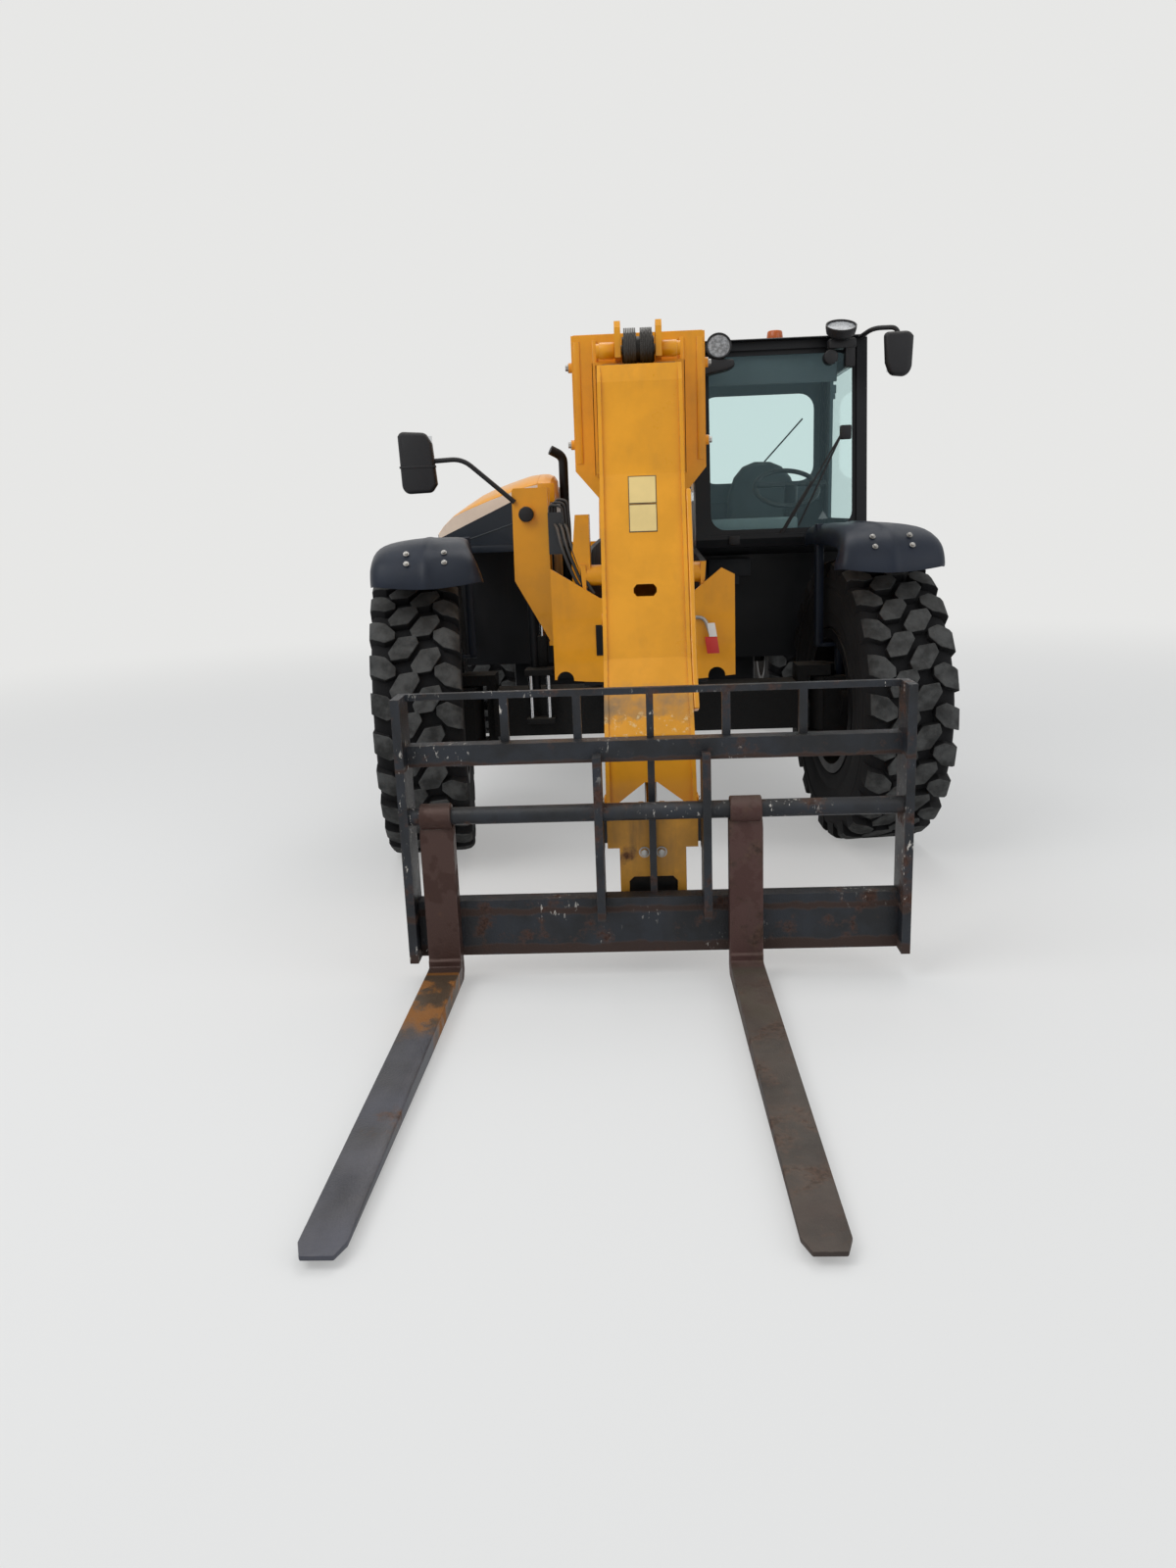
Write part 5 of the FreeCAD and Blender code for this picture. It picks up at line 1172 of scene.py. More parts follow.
@dataclass
class BoomHead(Part):
    """The collar, the chain sheave and the drop nose in close view."""

    face_top: Point = (0.0, -1.358, 1.720)
    face_low: Point = (0.0, -1.628, 1.055)

    def build(self) -> None:
        """Build the boom's front end."""
        self.build_collar()
        self.build_chain()
        self.build_nose()

    def build_collar(self) -> None:
        """Add the guide strips, the cross plate and the bolts of the collar."""
        strips = [Bench.block(f"strip_{i}", (low, -0.949, 1.725), (high, -0.939, 2.256), 0.003)
                  for i, (low, high) in enumerate(((-0.185, -0.167), (0.167, 0.185)))]
        frame_bars = (
            ("left", (0.236, -0.944, 1.780), (0.262, -0.939, 2.255)),
            ("right", (-0.262, -0.944, 1.780), (-0.236, -0.939, 2.255)),
            ("plate", (-0.160, -0.9445, 2.172), (0.160, -0.939, 2.250)),
            ("cap", (-0.262, -0.930, 2.276), (0.262, -0.800, 2.282)),
        )
        bars = [Bench.block(f"collar_{n}", low, high, 0.002) for n, low, high in frame_bars]
        self.seat(Bench.join("collar_strips", strips + bars), "outer_section", "yellow_paint", "yellow_paint")
        heads = [(x, -0.9445, z) for x in (-0.140, -0.112, 0.112, 0.140) for z in (2.192, 2.232)]
        self.seat(Bench.bolts("collar_bolts", heads, (0, -1, 0), 0.006), "outer_section", "yellow_paint", "yellow_paint")
        ends = [Bench.bolts(f"boss_bolt_{side.name}", [(side.value * 0.286, -0.865, z) for z in (2.165, 1.860)],
                            (side.value, 0, 0), 0.013) for side in Side]
        self.seat(Bench.join("boss_bolts", ends), "outer_section", "bolt_zinc", "worn_steel")

    def build_chain(self) -> None:
        """Add the two leaf chains that run over the sheave."""
        link = [(0.018 * math.cos(a) * 1.25, 0.0105 * math.sin(a)) for a in (math.tau * i / 10 for i in range(10))]
        plates = []
        for lane, start in enumerate((-0.056, 0.008)):
            for leaf in range(7):
                x = start + leaf * 0.0068
                for step in range(9):
                    turn = math.radians(-78 + 24 * step + (12 if leaf % 2 else 0))
                    leaf_plate = Bench.sheet(f"leaf_{lane}_{leaf}_{step}", [(x, a, b) for a, b in link], (0.0055, 0, 0), 0.0)
                    place = Matrix.Translation((0, -1.080, 2.198)) @ Matrix.Rotation(turn, 4, "X")
                    leaf_plate.data.transform(place @ Matrix.Translation((0, 0, 0.0700)))
                    plates.append(leaf_plate)
        self.seat(Bench.join("leaf_chain", plates), "middle_section", "chain_steel", "worn_steel")
        tubes = []
        for side in Side:
            x = side.value
            tubes.append(Bench.rod(f"tube_{side.name}", (x * 0.0925, -1.080, 2.198), (x * 0.152, -1.080, 2.198), 0.031, 28, 0.003))
        self.seat(Bench.join("sheave_tubes", tubes), "middle_section", "yellow_paint", "yellow_paint")

    def on_face(self, x: float, z: float, lift: float = 0.0) -> Point:
        """Return a place on the nose's slanting face.

        Args:
            x: How far it is to the side.
            z: Its height.
            lift: How far it stands out from the face.

        Returns:
            The place.
        """
        share = (self.face_top[2] - z) / (self.face_top[2] - self.face_low[2])
        y = self.face_top[1] + share * (self.face_low[1] - self.face_top[1])
        return (x, y - 0.9266 * lift, z + 0.3762 * lift)

    def build_nose(self) -> None:
        """Add the blank labels, pads, cover and pin plates of the nose."""
        out = (0, -0.9266 * 0.0016, 0.3762 * 0.0016)
        for name, finish, grow, lift in (("label_edges", "label_edge", 0.003, -0.0004), ("nose_labels", "label_blank", 0.0, 0.0006)):
            labels = []
            for i, (low, high) in enumerate(((1.508, 1.604), (1.612, 1.708))):
                wide = 0.050 + grow
                corners = [self.on_face(x, z, lift) for x, z in
                           ((-wide, low - grow), (wide, low - grow), (wide, high + grow), (-wide, high + grow))]
                labels.append(Bench.sheet(f"{name}_{i}", corners, out, 0.0))
            self.seat(Bench.join(name, labels), "inner_section", finish, "yellow_paint")
        pads = [Bench.block(f"pad_{i}", (low, -1.232, 2.1245), (high, -1.120, 2.1305), 0.002)
                for i, (low, high) in enumerate(((-0.140, -0.066), (0.066, 0.140)))]
        self.seat(Bench.join("nose_pads", pads), "inner_section", "black_plastic", "black_plastic")
        cover = [(-1.390, 1.660), (-1.638, 1.050), (-1.768, 0.885), (-1.700, 0.862), (-1.565, 1.040), (-1.318, 1.640)]
        guard = Bench.sheet("hose_guard", [(0.1612, y, z) for y, z in cover], (0.022, 0, 0), 0.007, 3)
        self.seat(guard, "inner_section", "yellow_paint", "yellow_paint")
        keepers, heads = [], []
        for side in Side:
            x = side.value
            low, high = sorted((x * 0.1612, x * 0.1680))
            keepers.append(Bench.block(f"keeper_{side.name}", (low, -1.905, 0.566), (high, -1.835, 0.592), 0.002))
            heads.append(Bench.bolts(f"keeper_bolt_{side.name}", [(x * 0.168, -1.895, 0.579), (x * 0.168, -1.845, 0.579)],
                                     (x, 0, 0), 0.007))
        self.seat(Bench.join("pin_keepers", keepers), "inner_section", "yellow_paint", "yellow_paint")
        self.seat(Bench.join("keeper_bolts", heads), "inner_section", "bolt_zinc", "worn_steel")


@dataclass
class FrontWorks(Part):
    """What shows round the tower, the apron and the hitch."""

    def build(self) -> None:
        """Build the small gear of the machine's front."""
        self.build_tower()
        self.build_lever()
        self.build_hoses()
        self.build_underside()
        self.build_hitch()

    def build_tower(self) -> None:
        """Add the tower's black cap, its ram's bright rod and the exhaust's elbow."""
        cap = Bench.rod("tower_cap", (-0.517, -0.600, 1.585), (-0.517, -0.568, 1.585), 0.034, 28, 0.006)
        self.seat(cap, "machine", "black_plastic", "black_plastic")
        rods = [Bench.rod(f"bright_rod_{i}", (x, y, low), (x, y, high), radius, 20)
                for i, (x, y, low, high, radius) in enumerate((
                    (-0.476, -0.500, 1.02, 1.25, 0.011), (-0.535, -0.580, 0.65, 0.86, 0.011),
                    (-0.452, -0.580, 0.65, 0.86, 0.011)))]
        self.seat(Bench.join("bright_rods", rods), "machine", "ram_chrome", "ram_chrome")
        feet = [Bench.block(f"rod_foot_{i}", low, high, 0.006) for i, (low, high) in enumerate((
            ((-0.560, -0.605, 0.630), (-0.425, -0.520, 0.655)), ((-0.560, -0.605, 0.855), (-0.425, -0.500, 0.885)),
            ((-0.500, -0.520, 0.885), (-0.455, -0.470, 1.03)), ((-0.425, -0.560, 0.835), (-0.270, -0.520, 0.885))))]
        self.seat(Bench.join("rod_feet", feet), "machine", "cast_iron", "cast_axle")
        stack = Bench.pipe("exhaust_stack", [(-0.4695, 0.520, 1.150), (-0.405, 0.520, 1.150), (-0.405, 0.520, 1.880),
                                             (-0.470, 0.500, 1.915)], 0.025, 20, 0.05)
        self.seat(stack, "machine", "dark_paint", "dark_paint", "exhaust_pipe")

    def build_lever(self) -> None:
        """Add the grey lever on the apron with its blank tag."""
        lever = Bench.pipe("apron_lever", [(0.165, -0.802, 1.120), (0.262, -0.804, 1.120), (0.300, -0.812, 1.010)],
                           0.0085, 12, 0.03)
        self.seat(lever, "machine", "bolt_zinc", "worn_steel")
        for name, finish, low, high, wide in (("tag_band", "tag_white", 1.035, 1.095, 0.014),
                                              ("tag_flap", "tag_red", 0.962, 1.035, 0.024)):
            outline = [(0.296 - wide, -0.826, low), (0.296 + wide + 0.006, -0.826, low),
                       (0.292 + wide, -0.824, high), (0.286 - wide, -0.824, high)]
            self.seat(Bench.sheet(name, outline, (0, 0.003, 0), 0.001), "machine", finish, "fender_plastic")

    def build_hoses(self) -> None:
        """Add the clamped hoses between the tower and the apron."""
        hoses = [Bench.pipe(f"tower_hose_{i}", [
            (-0.390 + dx, -0.602, 1.535), (-0.376 + dx, -0.660, 1.520), (-0.352 + dx, -0.745, 1.430),
            (-0.300 + dx, -0.770, 1.300), (-0.262 + dx, -0.770, 1.235)], 0.0075, 12, 0.06)
            for i, dx in enumerate((0.0, 0.022, 0.044))]
        self.seat(Bench.join("tower_hoses", hoses), "machine", "hose_rubber", "black_plastic")
        bends = [Bench.pipe(f"valve_hose_{i}", [
            (-0.412 + dz, -0.575, 1.585), (-0.412 + dz, -0.580, 1.622 + dz), (-0.352 + dz, -0.600, 1.616 + dz),
            (-0.345 + dz, -0.612, 1.520), (-0.345 + dz, -0.622, 1.440)], 0.0060, 12, 0.03)
            for i, dz in enumerate((0.0, 0.012, 0.024))]
        self.seat(Bench.join("valve_hoses", bends), "machine", "hose_rubber", "black_plastic")

    def build_underside(self) -> None:
        """Add the blank plate behind the boom, and dark panels that stand in as painted shade under the machine's
        middle.
        """
        plate = Bench.block("apron_plate", (-0.215, -0.7985, 0.965), (0.160, -0.7942, 1.100), 0.002)
        self.seat(plate, "machine", "cast_iron", "dark_paint")
        # Painted shade: dark panels fill the gaps under the machine's middle, where there is shade.
        panels = [Bench.block(f"under_panel_{i}", low, high, 0.010) for i, (low, high) in enumerate((
            ((-0.730, 0.560, 0.610), (-0.278, 1.640, 0.7785)), ((0.278, 0.560, 0.600), (0.620, 1.150, 0.790))))]
        self.seat(Bench.join("under_panels", panels), "machine", "dark_paint", "dark_paint")

    def build_hitch(self) -> None:
        """Add the hitch's bright bolts and the dark tube behind its window."""
        heads = Bench.bolts("hitch_bolts", [(x, -2.012, 0.425) for x in (-0.030, 0.030)], (0, -1, 0), 0.0135)
        self.seat(heads, "fork_carriage", "bolt_zinc", "worn_steel")
        tube = Bench.rod("hitch_tube", (-0.092, -1.947, 0.293), (0.092, -1.947, 0.293), 0.0425, 28, 0.004)
        self.seat(tube, "fork_carriage", "cast_iron", "cast_axle")


@dataclass
class Forks(Part):
    """The two forks, with thin worn tips that nearly touch the ground."""

    half_width: float = 0.0565
    side_view: Outline = field(default_factory=lambda: [
        (-2.100, 0.584), (-2.146, 0.570), (-2.160, 0.540), (-2.160, 0.100), (-2.167, 0.096), (-2.167, 0.074),
        (-2.186, 0.071), (-3.670, 0.036), (-3.670, 0.022), (-2.700, 0.008), (-2.128, 0.008), (-2.100, 0.038)])
    shaft: tuple[float, float] = (-2.130, 0.605)
    nick: tuple[float, float] = (0.018, 0.050)

    def build(self) -> None:
        """Build both forks."""
        for name, x, toe, finish in (("right", -0.730, 0.0285, "blue_fork"), ("left", 0.310, -0.0200, "brown_fork")):
            self.seat(self.fork(f"worn_fork_{name}", x, toe), f"{name}_fork", finish, "rusty_steel", f"fork_{name}")

    def fork(self, name: str, x: float, toe: float) -> bpy.types.Object:
        """Model one fork with its hook.

        Args:
            name: The piece's name.
            x: The middle of its shank.
            toe: How far the blade leans sideways for each metre.

        Returns:
            The fork.
        """
        blade = Bench.sheet(name, [(-self.half_width, y, z) for y, z in self.side_view], (2 * self.half_width, 0, 0), 0.0)
        tip = min(y for y, _ in self.side_view)
        bpy.ops.object.mode_set(mode="EDIT")
        for sign in (-1, 1):
            bpy.ops.mesh.select_all(action="SELECT")
            bpy.ops.mesh.bisect(plane_co=(sign * self.half_width, tip + self.nick[1], 0),
                                plane_no=(sign * self.nick[1], -self.nick[0], 0), use_fill=True, clear_outer=True)
        bpy.ops.object.mode_set(mode="OBJECT")
        for corner in blade.data.vertices:
            corner.co.x += x + toe * min(0.0, corner.co.y + 2.17)
        Bench.soften(blade, 0.0035, 2)
        w = self.half_width - 0.004
        ring = Bench.lathe(f"{name}_hook", [(-w, 0.0312), (-w, 0.0415), (-w + 0.003, 0.0445), (w - 0.003, 0.0445),
                                            (w, 0.0415), (w, 0.0312)], (x, *self.shaft), (1, 0, 0), 40)
        return Bench.join(name, [blade, ring])


@dataclass
class CabFittings(Part):
    """The cab's lamps, wipers, mirrors, seat and wheel."""

    glass_low: Point = (0.0, 0.021, 1.446)
    glass_top: Point = (0.0, 0.099, 2.319)

    def build(self) -> None:
        """Build everything that shows on and in the cab."""
        self.build_roof()
        self.build_surround()
        self.build_lamps()
        self.build_wipers()
        self.build_mirrors()
        self.build_inside()

    def on_glass(self, x: float, z: float, lift: float = 0.0) -> Point:
        """Return a place on the windscreen.

        Args:
            x: How far it is to the side.
            z: Its height.
            lift: How far it stands out in front.

        Returns:
            The place.
        """
        share = (z - self.glass_low[2]) / (self.glass_top[2] - self.glass_low[2])
        return (x, self.glass_low[1] + share * (self.glass_top[1] - self.glass_low[1]) - lift, z)

    def rounded_frame(self, name: str, outer: tuple[float, float, float, float], inner: tuple[float, float, float, float],
                      corner: float, place: Callable[[float, float, float], Point], lift: float, deep: float) -> bpy.types.Object:
        """Model a flat frame whose opening has round corners.

        Args:
            name: The frame's name.
            outer: Its low x, high x, low z and high z.
            inner: The same of its opening.
            corner: The radius of the opening's corners.
            place: Turns x, z and a lift into a place.
            lift: How far its front stands out.
            deep: Its thickness.

        Returns:
            The frame.
        """
        x0, x1, z0, z1 = outer
        frame_plate = Bench.sheet(name, [place(x, z, lift) for x, z in ((x0, z0), (x1, z0), (x1, z1), (x0, z1))],
                                  (0, deep, 0), 0.0)
        a0, a1, b0, b1 = inner
        ring = []
        for cx, cz, start in ((a1 - corner, b0 + corner, -90), (a1 - corner, b1 - corner, 0),
                              (a0 + corner, b1 - corner, 90), (a0 + corner, b0 + corner, 180)):
            for step in range(7):
                turn = math.radians(start + 15 * step)
                ring.append(place(cx + corner * math.cos(turn), cz + corner * math.sin(turn), lift + 0.03))
        Bench.carve(frame_plate, Bench.sheet(name + "_hole", ring, (0, deep + 0.06, 0), 0.0))
        return Bench.soften(frame_plate, 0.0015, 1)

    def build_roof(self) -> None:
        """Rebuild the roof with a low rounded front edge."""
        line = [(0.046, 2.3603), (0.040, 2.3645), (0.050, 2.3690), (0.150, 2.3770), (0.300, 2.3910), (0.420, 2.4010),
                (0.520, 2.4048), (0.980, 2.4050), (1.090, 2.4000), (1.150, 2.3850), (1.159, 2.3700), (1.150, 2.3603)]
        roof = Bench.sheet("roof_shell", [(0.2705, y, z) for y, z in line], (0.8445, 0, 0), 0.008, 3)
        self.seat(roof, "machine", "cab_black", "dark_paint", "cab_roof")

    def build_surround(self) -> None:
        """Add the black surrounds of the front and rear window, and a sun blind that also stands in as painted shade
        for the dark cab ceiling.
        """
        front = self.rounded_frame("screen_surround", (0.322, 1.078, 1.440, 2.325), (0.352, 1.050, 1.470, 2.296), 0.075,
                                   self.on_glass, 0.004, 0.003)
        self.seat(front, "machine", "cab_black", "black_plastic")
        rear = self.rounded_frame("rear_surround", (0.335, 1.060, 1.605, 2.315), (0.372, 1.022, 1.715, 2.200), 0.085,
                                  lambda x, z, lift: (x, 1.090 - lift, z), 0.0, 0.004)
        self.seat(rear, "machine", "interior_grey", "black_plastic")
        # A sun blind that also stands in, as painted shade, for the dark cab ceiling behind the windscreen.
        blind = Bench.block("sun_blind", (0.345, 0.128, 2.165), (0.985, 0.140, 2.330), 0.004)
        self.seat(blind, "machine", "interior_grey", "black_plastic")

    def build_lamps(self) -> None:
        """Rebuild the two work lamps and the beacon."""
        shells, mirrors, lenses = [], [], []
        left = ((0.974, -0.040, 2.404), (0.0, -0.47, 0.88), 0.073)
        right = ((0.394, -0.050, 2.334), (0.0, -0.97, 0.22), 0.061)
        for name, (centre, way, radius) in (("left", left), ("right", right)):
            out = Vector(way).normalized()
            middle = Vector(centre) - out * 0.012
            bowl = [(-0.052, 0.012), (-0.050, radius * 0.55), (-0.030, radius * 0.92), (-0.004, radius),
                    (0.010, radius), (0.010, radius - 0.006), (-0.003, radius - 0.007), (-0.026, radius * 0.80),
                    (-0.044, 0.010)]
            shells.append(Bench.lathe(f"lamp_shell_{name}", bowl, tuple(middle), tuple(out), 32))
            dish = [(-0.040, 0.0005), (-0.036, radius * 0.45), (-0.022, radius * 0.74), (-0.0035, radius - 0.009),
                    (-0.006, radius - 0.010), (-0.025, radius * 0.70), (-0.039, radius * 0.40), (-0.043, 0.0005)]
            mirrors.append(Bench.lathe(f"lamp_dish_{name}", dish, tuple(middle), tuple(out), 32))
            lens = [(0.004, 0.0005), (0.003, radius * 0.6), (0.0, radius - 0.0075), (0.003, radius - 0.0075),
                    (0.006, radius * 0.6), (0.007, 0.0005)]
            lenses.append(Bench.lathe(f"lamp_lens_{name}", lens, tuple(middle), tuple(out), 32))
        stems = [Bench.rod("lamp_stem_left", (0.974, -0.020, 2.372), (0.974, 0.020, 2.320), 0.022, 16, 0.003),
                 Bench.block("lamp_foot_left", (0.920, -0.020, 2.300), (1.050, 0.046, 2.345), 0.008),
                 Bench.rod("lamp_knob_left", (0.930, -0.030, 2.262), (0.930, 0.040, 2.262), 0.034, 24, 0.008),
                 Bench.block("lamp_stay_left", (1.000, -0.016, 2.215), (1.046, 0.050, 2.310), 0.008),
                 Bench.sheet("lamp_shroud_right", [(0.318, -0.055, 2.280), (0.465, -0.055, 2.268), (0.470, -0.055, 2.236),
                                                   (0.430, -0.055, 2.220), (0.318, -0.055, 2.200)], (0, 0.095, 0), 0.010, 3),
                 Bench.block("lamp_foot_right", (0.380, -0.010, 2.262), (0.412, 0.040, 2.330), 0.004)]
        self.seat(Bench.join("lamp_shells", shells + stems), "machine", "black_plastic", "lamp_plastic", "roof_lamps")
        self.seat(Bench.join("lamp_dishes", mirrors), "machine", "lamp_mirror", "lamp_plastic")
        self.seat(Bench.join("lamp_lenses", lenses), "machine", "lamp_ribs", "clear_glass")
        foot = Bench.rod("beacon_foot", (0.728, 0.520, 2.4035), (0.728, 0.520, 2.416), 0.050, 32, 0.003)
        self.seat(foot, "machine", "black_plastic", "lamp_plastic")
        cap = Bench.rod("beacon_cap", (0.728, 0.520, 2.415), (0.728, 0.520, 2.466), 0.044, 32, 0.008, tip=0.038)
        self.seat(cap, "machine", "beacon_orange", "lamp_plastic")

    def build_wipers(self) -> None:
        """Add the wipers of the front and rear window."""
        x_pivot, z_pivot = 1.004, 1.925
        pivot = self.on_glass(x_pivot, z_pivot, 0.024)
        pieces = [Bench.block("wiper_motor", self.on_glass(0.990, 1.885, 0.030), self.on_glass(1.044, 1.952, -0.002), 0.006)]
        for i, (x, z) in enumerate(((0.690, 1.418), (0.785, 1.480))):
            middle = self.on_glass(x_pivot + (x - x_pivot) * 0.6, z_pivot + (z - z_pivot) * 0.6, 0.020)
            pieces.append(Bench.pipe(f"wiper_arm_{i}", [pivot, middle, self.on_glass(x, z, 0.010)], 0.0050, 8, 0.02))
        blade_low, blade_top = self.on_glass(0.682, 1.420, 0.0095), self.on_glass(0.852, 1.690, 0.0095)
        pieces.append(Bench.rod("wiper_blade", blade_low, blade_top, 0.0065, 10, 0.001))
        pieces.append(Bench.pipe("rear_wiper", [(0.956, 1.080, 2.061), (0.846, 1.078, 1.945), (0.736, 1.080, 1.829)], 0.0045, 8, 0.02))
        self.seat(Bench.join("wipers", pieces), "machine", "black_plastic", "black_plastic")

    def build_mirrors(self) -> None:
        """Rebuild the two mirrors with rounded cases and bent arms."""
        pieces = []
        left = Bench.sheet("mirror_left_case", [
            (1.160, -0.130, 2.352), (1.168, -0.130, 2.215), (1.190, -0.130, 2.158), (1.262, -0.130, 2.150),
            (1.292, -0.130, 2.180), (1.298, -0.130, 2.330), (1.280, -0.130, 2.354)], (0, 0.052, 0), 0.022, 4)
        right = Bench.sheet("mirror_right_case", [
            (-1.068, -0.632, 1.940), (-1.055, -0.632, 1.960), (-0.945, -0.632, 1.952), (-0.918, -0.632, 1.905),
            (-0.905, -0.632, 1.730), (-0.930, -0.632, 1.695), (-1.040, -0.632, 1.692), (-1.062, -0.632, 1.715)],
            (0, 0.056, 0), 0.024, 4)
        pieces += [left, right]
        pieces.append(Bench.block("mirror_split", (-1.066, -0.6345, 1.802), (-0.906, -0.600, 1.812), 0.002))
        pieces.append(Bench.pipe("mirror_arm_left", [(1.228, -0.100, 2.290), (1.228, -0.100, 2.372), (1.120, -0.060, 2.378),
                                                     (1.075, 0.020, 2.352)], 0.011, 12, 0.04))
        pieces.append(Bench.pipe("mirror_arm_right", [(-0.930, -0.595, 1.830), (-0.790, -0.590, 1.836), (-0.567, -0.578, 1.640)],
                                 0.011, 12, 0.05))
        self.seat(Bench.join("mirror_cases", pieces), "machine", "black_plastic", "black_plastic", "mirrors")
        faces = [Bench.block("mirror_face_left", (1.182, -0.0795, 2.176), (1.284, -0.0765, 2.336), 0.001),
                 Bench.block("mirror_face_right", (-1.050, -0.5775, 1.712), (-0.922, -0.5745, 1.940), 0.001)]
        self.seat(Bench.join("mirror_faces", faces), "machine", "mirror_face", "clear_glass")

    def build_inside(self) -> None:
        """Rebuild the seat as two pads and add the ring of the steering wheel."""
        hump = [(0.515, 1.405), (0.905, 1.405), (0.912, 1.640), (0.880, 1.735), (0.825, 1.798), (0.760, 1.826),
                (0.670, 1.829), (0.605, 1.804), (0.555, 1.745), (0.520, 1.650)]
        back = Bench.sheet("seat_back", [(x, 0.972, z) for x, z in hump], (0, 0.104, 0), 0.030, 5)
        self.seat(back, "machine", "seat_fabric", "seat_fabric", "seat")
        cushion = Bench.block("seat_pad", (0.530, 0.622, 1.322), (0.990, 1.078, 1.440), 0.035, 4)
        self.seat(cushion, "machine", "seat_fabric", "seat_fabric")
        Bench.clear()
        bpy.ops.mesh.primitive_torus_add(major_radius=0.165, minor_radius=0.0125, major_segments=48, minor_segments=12,
                                         location=(0.775, 0.400, 1.668), rotation=(math.radians(34), 0, 0))
        wheel = bpy.context.object
        wheel.name = wheel.data.name = "steering_ring"
        Bench.settle(wheel)
        Bench.soften(wheel, 0.0)
        self.seat(wheel, "machine", "black_plastic", "black_plastic")
        dash = Bench.block("dash_panel", (0.352, 0.150, 1.452), (0.800, 0.250, 1.522), 0.012, 3)
        self.seat(dash, "machine", "dash_grey", "black_plastic")
        tray = Bench.block("front_tray", (0.357, 0.3450, 1.224), (0.580, 0.3545, 1.314), 0.004)
        self.seat(tray, "machine", "gear_grey", "black_plastic")
        box = Bench.block("sill_box", self.on_glass(0.438, 1.398, 0.030), self.on_glass(0.492, 1.440, -0.004), 0.004)
        self.seat(box, "machine", "black_plastic", "black_plastic")
        corners = [self.on_glass(x, z, 0.0022) for x, z in ((0.884, 1.508), (0.932, 1.508), (0.908, 1.548))]
        self.seat(Bench.sheet("glass_sticker", corners, (0, 0.0016, 0), 0.0), "machine", "dash_grey", "clear_glass")


@dataclass
class EngineSide(Part):
    """The arched top of the engine cover and the painted highlight along its front edge."""

    front_line: Outline = field(default_factory=lambda: [
        (-1.0285, 1.502), (-1.000, 1.540), (-0.950, 1.585), (-0.890, 1.612), (-0.820, 1.638), (-0.750, 1.664),
        (-0.690, 1.684), (-0.620, 1.705), (-0.570, 1.719), (-0.512, 1.735)])
    crest_line: Outline = field(default_factory=lambda: [
        (-1.0285, 1.508), (-1.000, 1.550), (-0.950, 1.607), (-0.890, 1.655), (-0.820, 1.698), (-0.750, 1.728),
        (-0.690, 1.748), (-0.620, 1.770), (-0.570, 1.784), (-0.512, 1.790)])
    stations: Outline = field(default_factory=lambda: [
        (0.0605, 0.0), (0.110, 0.30), (0.200, 0.62), (0.320, 0.88), (0.470, 1.0), (0.900, 1.0), (1.350, 1.0),
        (1.560, 0.75), (1.660, 0.40), (1.705, 0.0)])

    def build(self) -> None:
        """Build the crown, its shoulder and the pale strip of painted highlight along the front edge."""
        self.build_crown()
        # Painted highlight: a pale strip along the front edge of the cover's top stands in for the light caught on that
        # edge.
        edge = [(-1.027, 1.480), (-0.650, 1.648), (-0.500, 1.712), (-0.500, 1.7295), (-0.570, 1.717), (-0.620, 1.703),
                (-0.750, 1.662), (-0.820, 1.636), (-0.890, 1.610), (-0.950, 1.583), (-1.000, 1.538), (-1.027, 1.501)]
        stripe = Bench.sheet("hood_stripe", [(x, 0.0578, z) for x, z in edge], (0, 0.0022, 0), 0.0)
        self.seat(stripe, "hood", "pale_stripe", "yellow_paint")
        skirt = Bench.block("hood_skirt", (-1.022, 0.062, 1.402), (-0.470, 0.080, 1.4415), 0.003)
        self.seat(skirt, "hood", "body_navy", "dark_paint")
        crease = Bench.rod("hood_crease", (-0.885, 0.0595, 1.468), (-0.650, 0.0595, 1.540), 0.0030, 8)
        self.seat(crease, "hood", "interior_grey", "dark_paint")

    def height(self, x: float, share: float) -> float:
        """Return the height of the crown.

        Args:
            x: How far it is to the side.
            share: 0 at the front line and 1 at the crest.

        Returns:
            The height above the ground.
        """
        found = []
        for line in (self.front_line, self.crest_line):
            for (x0, z0), (x1, z1) in zip(line, line[1:]):
                if x <= x1 or (x1, z1) == line[-1]:
                    found.append(z0 + (min(x, x1) - x0) / (x1 - x0) * (z1 - z0))
                    break
        return found[0] * (1 - share) + found[1] * share

    def build_crown(self) -> None:
        """Arch the cover's top, with a shoulder in front of the exhaust."""
        sections = []
        for y, share in self.stations:
            top = [(x, y, self.height(x, share)) for x, _ in self.crest_line]
            base = [(x, y, 1.4965 + 0.4259 * (x + 1.03)) for x, _ in reversed(self.crest_line)]
            sections.append(top + base)
        self.seat(Bench.loft("hood_crown", sections, 0.004), "hood", "yellow_paint", "yellow_paint")
        sections = []
        for y, share in self.stations[:5]:
            ridge = self.height(-0.512, share)
            ring = ((-0.5125, 1.728), (-0.5125, ridge), (-0.480, ridge - 0.001), (-0.450, ridge - 0.012),
                    (-0.433, ridge - 0.040), (-0.428, 1.640), (-0.4585, 1.640), (-0.4585, 1.728))
            sections.append([(x, min(y, 0.468), z) for x, z in ring])
        shoulder = [Bench.loft("shoulder", sections, 0.003),
                    Bench.block("shoulder_front", (-0.5125, 0.0565, 1.640), (-0.4285, 0.0610, 1.7330), 0.001)]
        self.seat(Bench.join("hood_shoulder", shoulder), "hood", "yellow_paint", "yellow_paint")


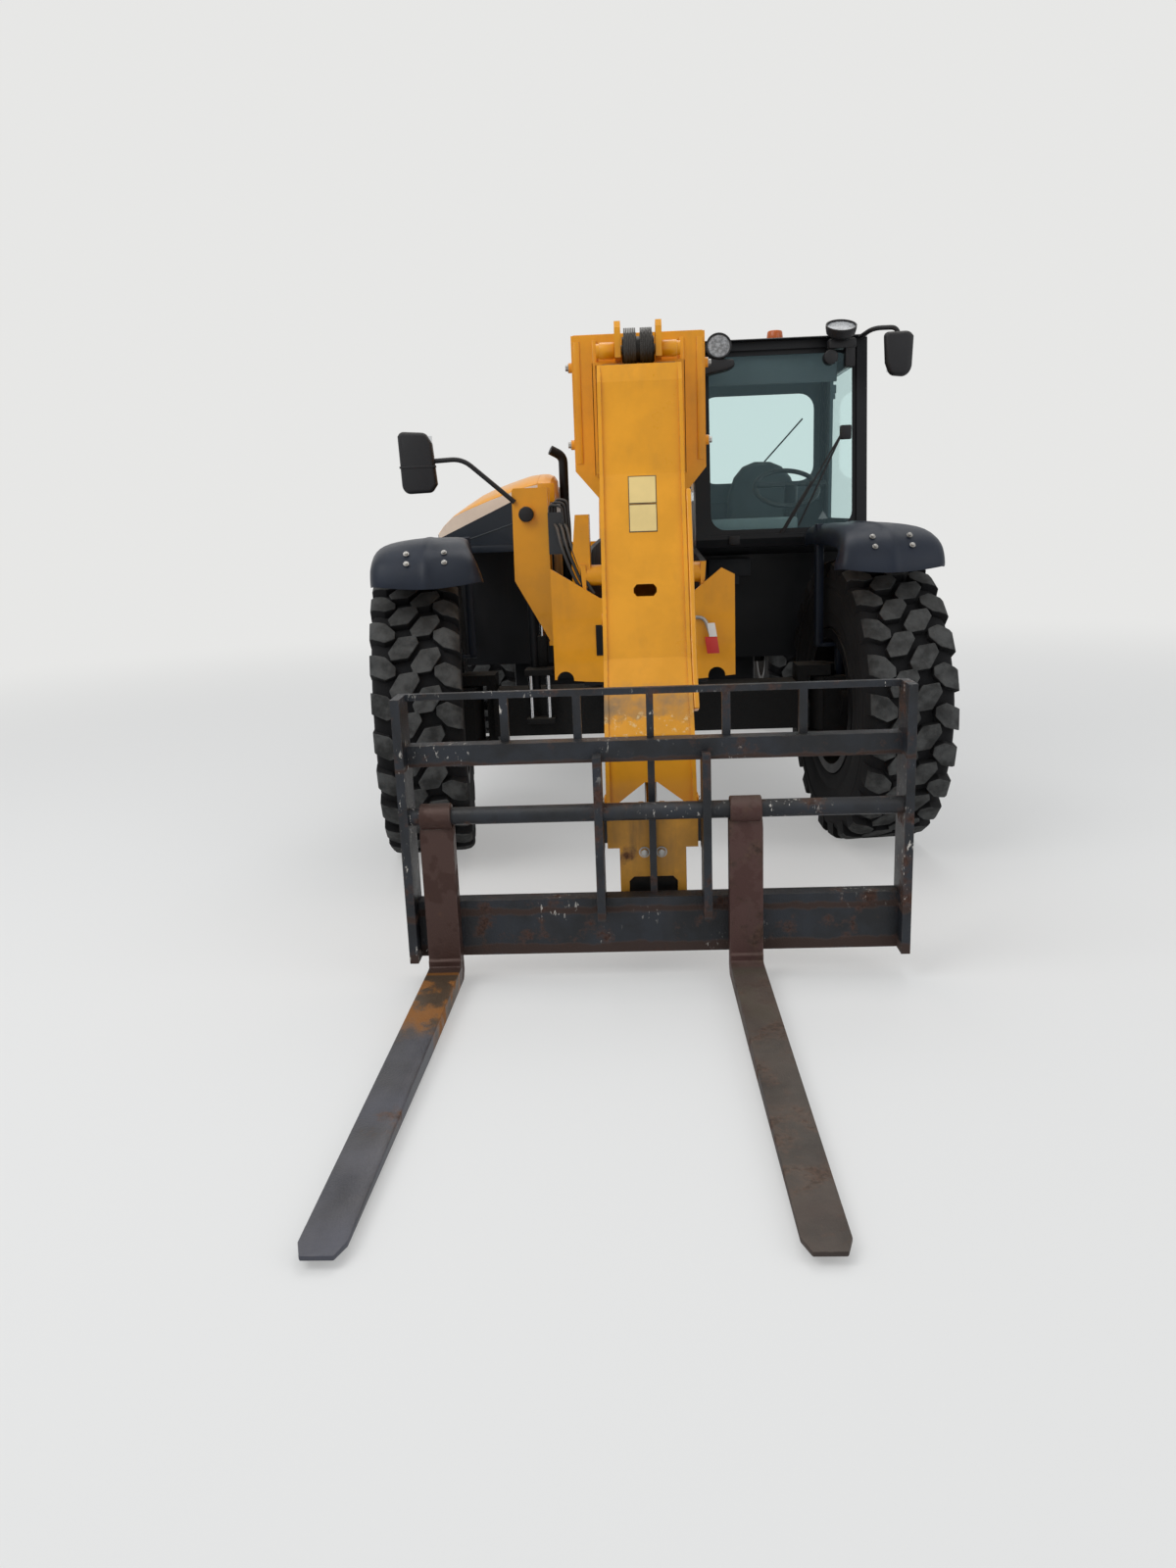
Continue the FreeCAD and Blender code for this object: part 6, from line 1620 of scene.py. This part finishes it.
@dataclass
class Studio:
    """The camera, the floor and the light."""

    palette: Palette
    camera_place: Point = (-0.04, -5.79, 1.59)
    yaw: float = 2.7
    pitch: float = 13.6
    roll: float = 2.2
    lens: float = 25.9
    pale: Colour = (0.80, 0.80, 0.79)
    centre: Point = (0.0, 0.0, 0.0)
    floor_size: float = 120.0

    def build(self) -> None:
        """Build the whole studio."""
        self.build_camera()
        self.build_floor()
        self.build_world()
        self.build_lamps()

    def build_camera(self) -> None:
        """Place the camera where the photographer stood."""
        lens = bpy.data.cameras.new("camera")
        lens.lens = self.lens
        lens.sensor_width = 36.0
        lens.clip_end = 400.0
        camera = bpy.data.objects.new("camera", lens)
        bpy.context.scene.collection.objects.link(camera)
        turn = Matrix.Rotation(math.radians(self.yaw), 4, "Z") @ Matrix.Rotation(math.radians(90 - self.pitch), 4, "X")
        turn = turn @ Matrix.Rotation(math.radians(-self.roll), 4, "Z")
        camera.matrix_world = Matrix.Translation(self.camera_place) @ turn
        bpy.context.scene.camera = camera

    def build_floor(self) -> None:
        """Lay the pale floor, which fades into the background far away."""
        Bench.clear()
        bpy.ops.mesh.primitive_plane_add(size=self.floor_size, location=(0, 0, -0.0005))
        floor = bpy.context.object
        floor.name = "floor"
        Bench.settle(floor)
        material = bpy.data.materials.new("floor_paper")
        material.use_nodes = True
        net = Net(material.node_tree)
        shader = net.tree.nodes["Principled BSDF"]
        net.feed(shader.inputs["Base Color"], self.pale)
        shader.inputs["Roughness"].default_value = 0.9
        shader.inputs["Specular IOR Level"].default_value = 0.1
        glow = net.node("Emission")
        net.feed(glow.inputs["Color"], self.pale)
        reach = net.node("VectorMath", operation="LENGTH")
        net.feed(reach.inputs[0], net.place())
        far = net.band(reach.outputs["Value"], 3.2, 11.0)
        path = net.node("LightPath")
        seen = net.maths("MAXIMUM", path.outputs["Is Camera Ray"], path.outputs["Is Glossy Ray"])
        seen = net.maths("MAXIMUM", seen, path.outputs["Is Transmission Ray"])
        mix = net.node("MixShader")
        share = net.maths("MULTIPLY_ADD", far, 0.6, 0.4)
        net.feed(mix.inputs[0], net.maths("MULTIPLY", share, seen))
        net.feed(mix.inputs[1], shader.outputs[0])
        net.feed(mix.inputs[2], glow.outputs[0])
        net.feed(net.tree.nodes["Material Output"].inputs["Surface"], mix.outputs[0])
        floor.data.materials.append(material)

    def build_world(self) -> None:
        """Make the even light that comes from all round."""
        world = bpy.data.worlds.new("studio_air")
        bpy.context.scene.world = world
        world.use_nodes = True
        net = Net(world.node_tree)
        air = net.tree.nodes["Background"]
        net.feed(air.inputs["Color"], (0.93, 0.96, 1.0))
        air.inputs["Strength"].default_value = 0.55
        paper = net.node("Background")
        net.feed(paper.inputs["Color"], self.pale)
        path = net.node("LightPath")
        seen = net.maths("MAXIMUM", path.outputs["Is Camera Ray"], path.outputs["Is Glossy Ray"])
        seen = net.maths("MAXIMUM", seen, path.outputs["Is Transmission Ray"])
        mix = net.node("MixShader")
        net.feed(mix.inputs[0], seen)
        net.feed(mix.inputs[1], air.outputs[0])
        net.feed(mix.inputs[2], paper.outputs[0])
        net.feed(net.tree.nodes["World Output"].inputs["Surface"], mix.outputs[0])

    def build_lamps(self) -> None:
        """Hang the soft lamps."""
        lamps = (
            ("key_lamp", (-4.5, -4.5, 7.0), 5.0, 240.0),
            ("fill_lamp", (6.0, -5.0, 4.0), 5.0, 90.0),
            ("top_lamp", (0.5, 2.0, 9.0), 6.0, 200.0),
        )
        for name, place, size, power in lamps:
            light = bpy.data.lights.new(name, "AREA")
            light.size = size
            light.energy = power
            lamp = bpy.data.objects.new(name, light)
            bpy.context.scene.collection.objects.link(lamp)
            lamp.location = place
            aim = Vector((0.0, 0.0, 1.0)) - Vector(place)
            lamp.rotation_euler = aim.to_track_quat("-Z", "Y").to_euler()


def main() -> None:
    """Build the machine's looks, piece by piece."""
    logging.basicConfig(level=logging.INFO, format="%(message)s")
    bpy.context.scene.view_settings.view_transform = "Standard"
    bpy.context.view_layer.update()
    palette = Palette()
    kinds = (CadPieces, Wheels, Fenders, BoomHead, FrontWorks, Forks, CabFittings, EngineSide)
    parts: list[Part] = [kind(palette) for kind in kinds]
    for part in parts:
        part.build()
        log.info("%s: %d pieces", type(part).__name__, len(part.pieces))
    Studio(palette).build()
    Bench.clear()


if __name__ == "__main__":
    main()
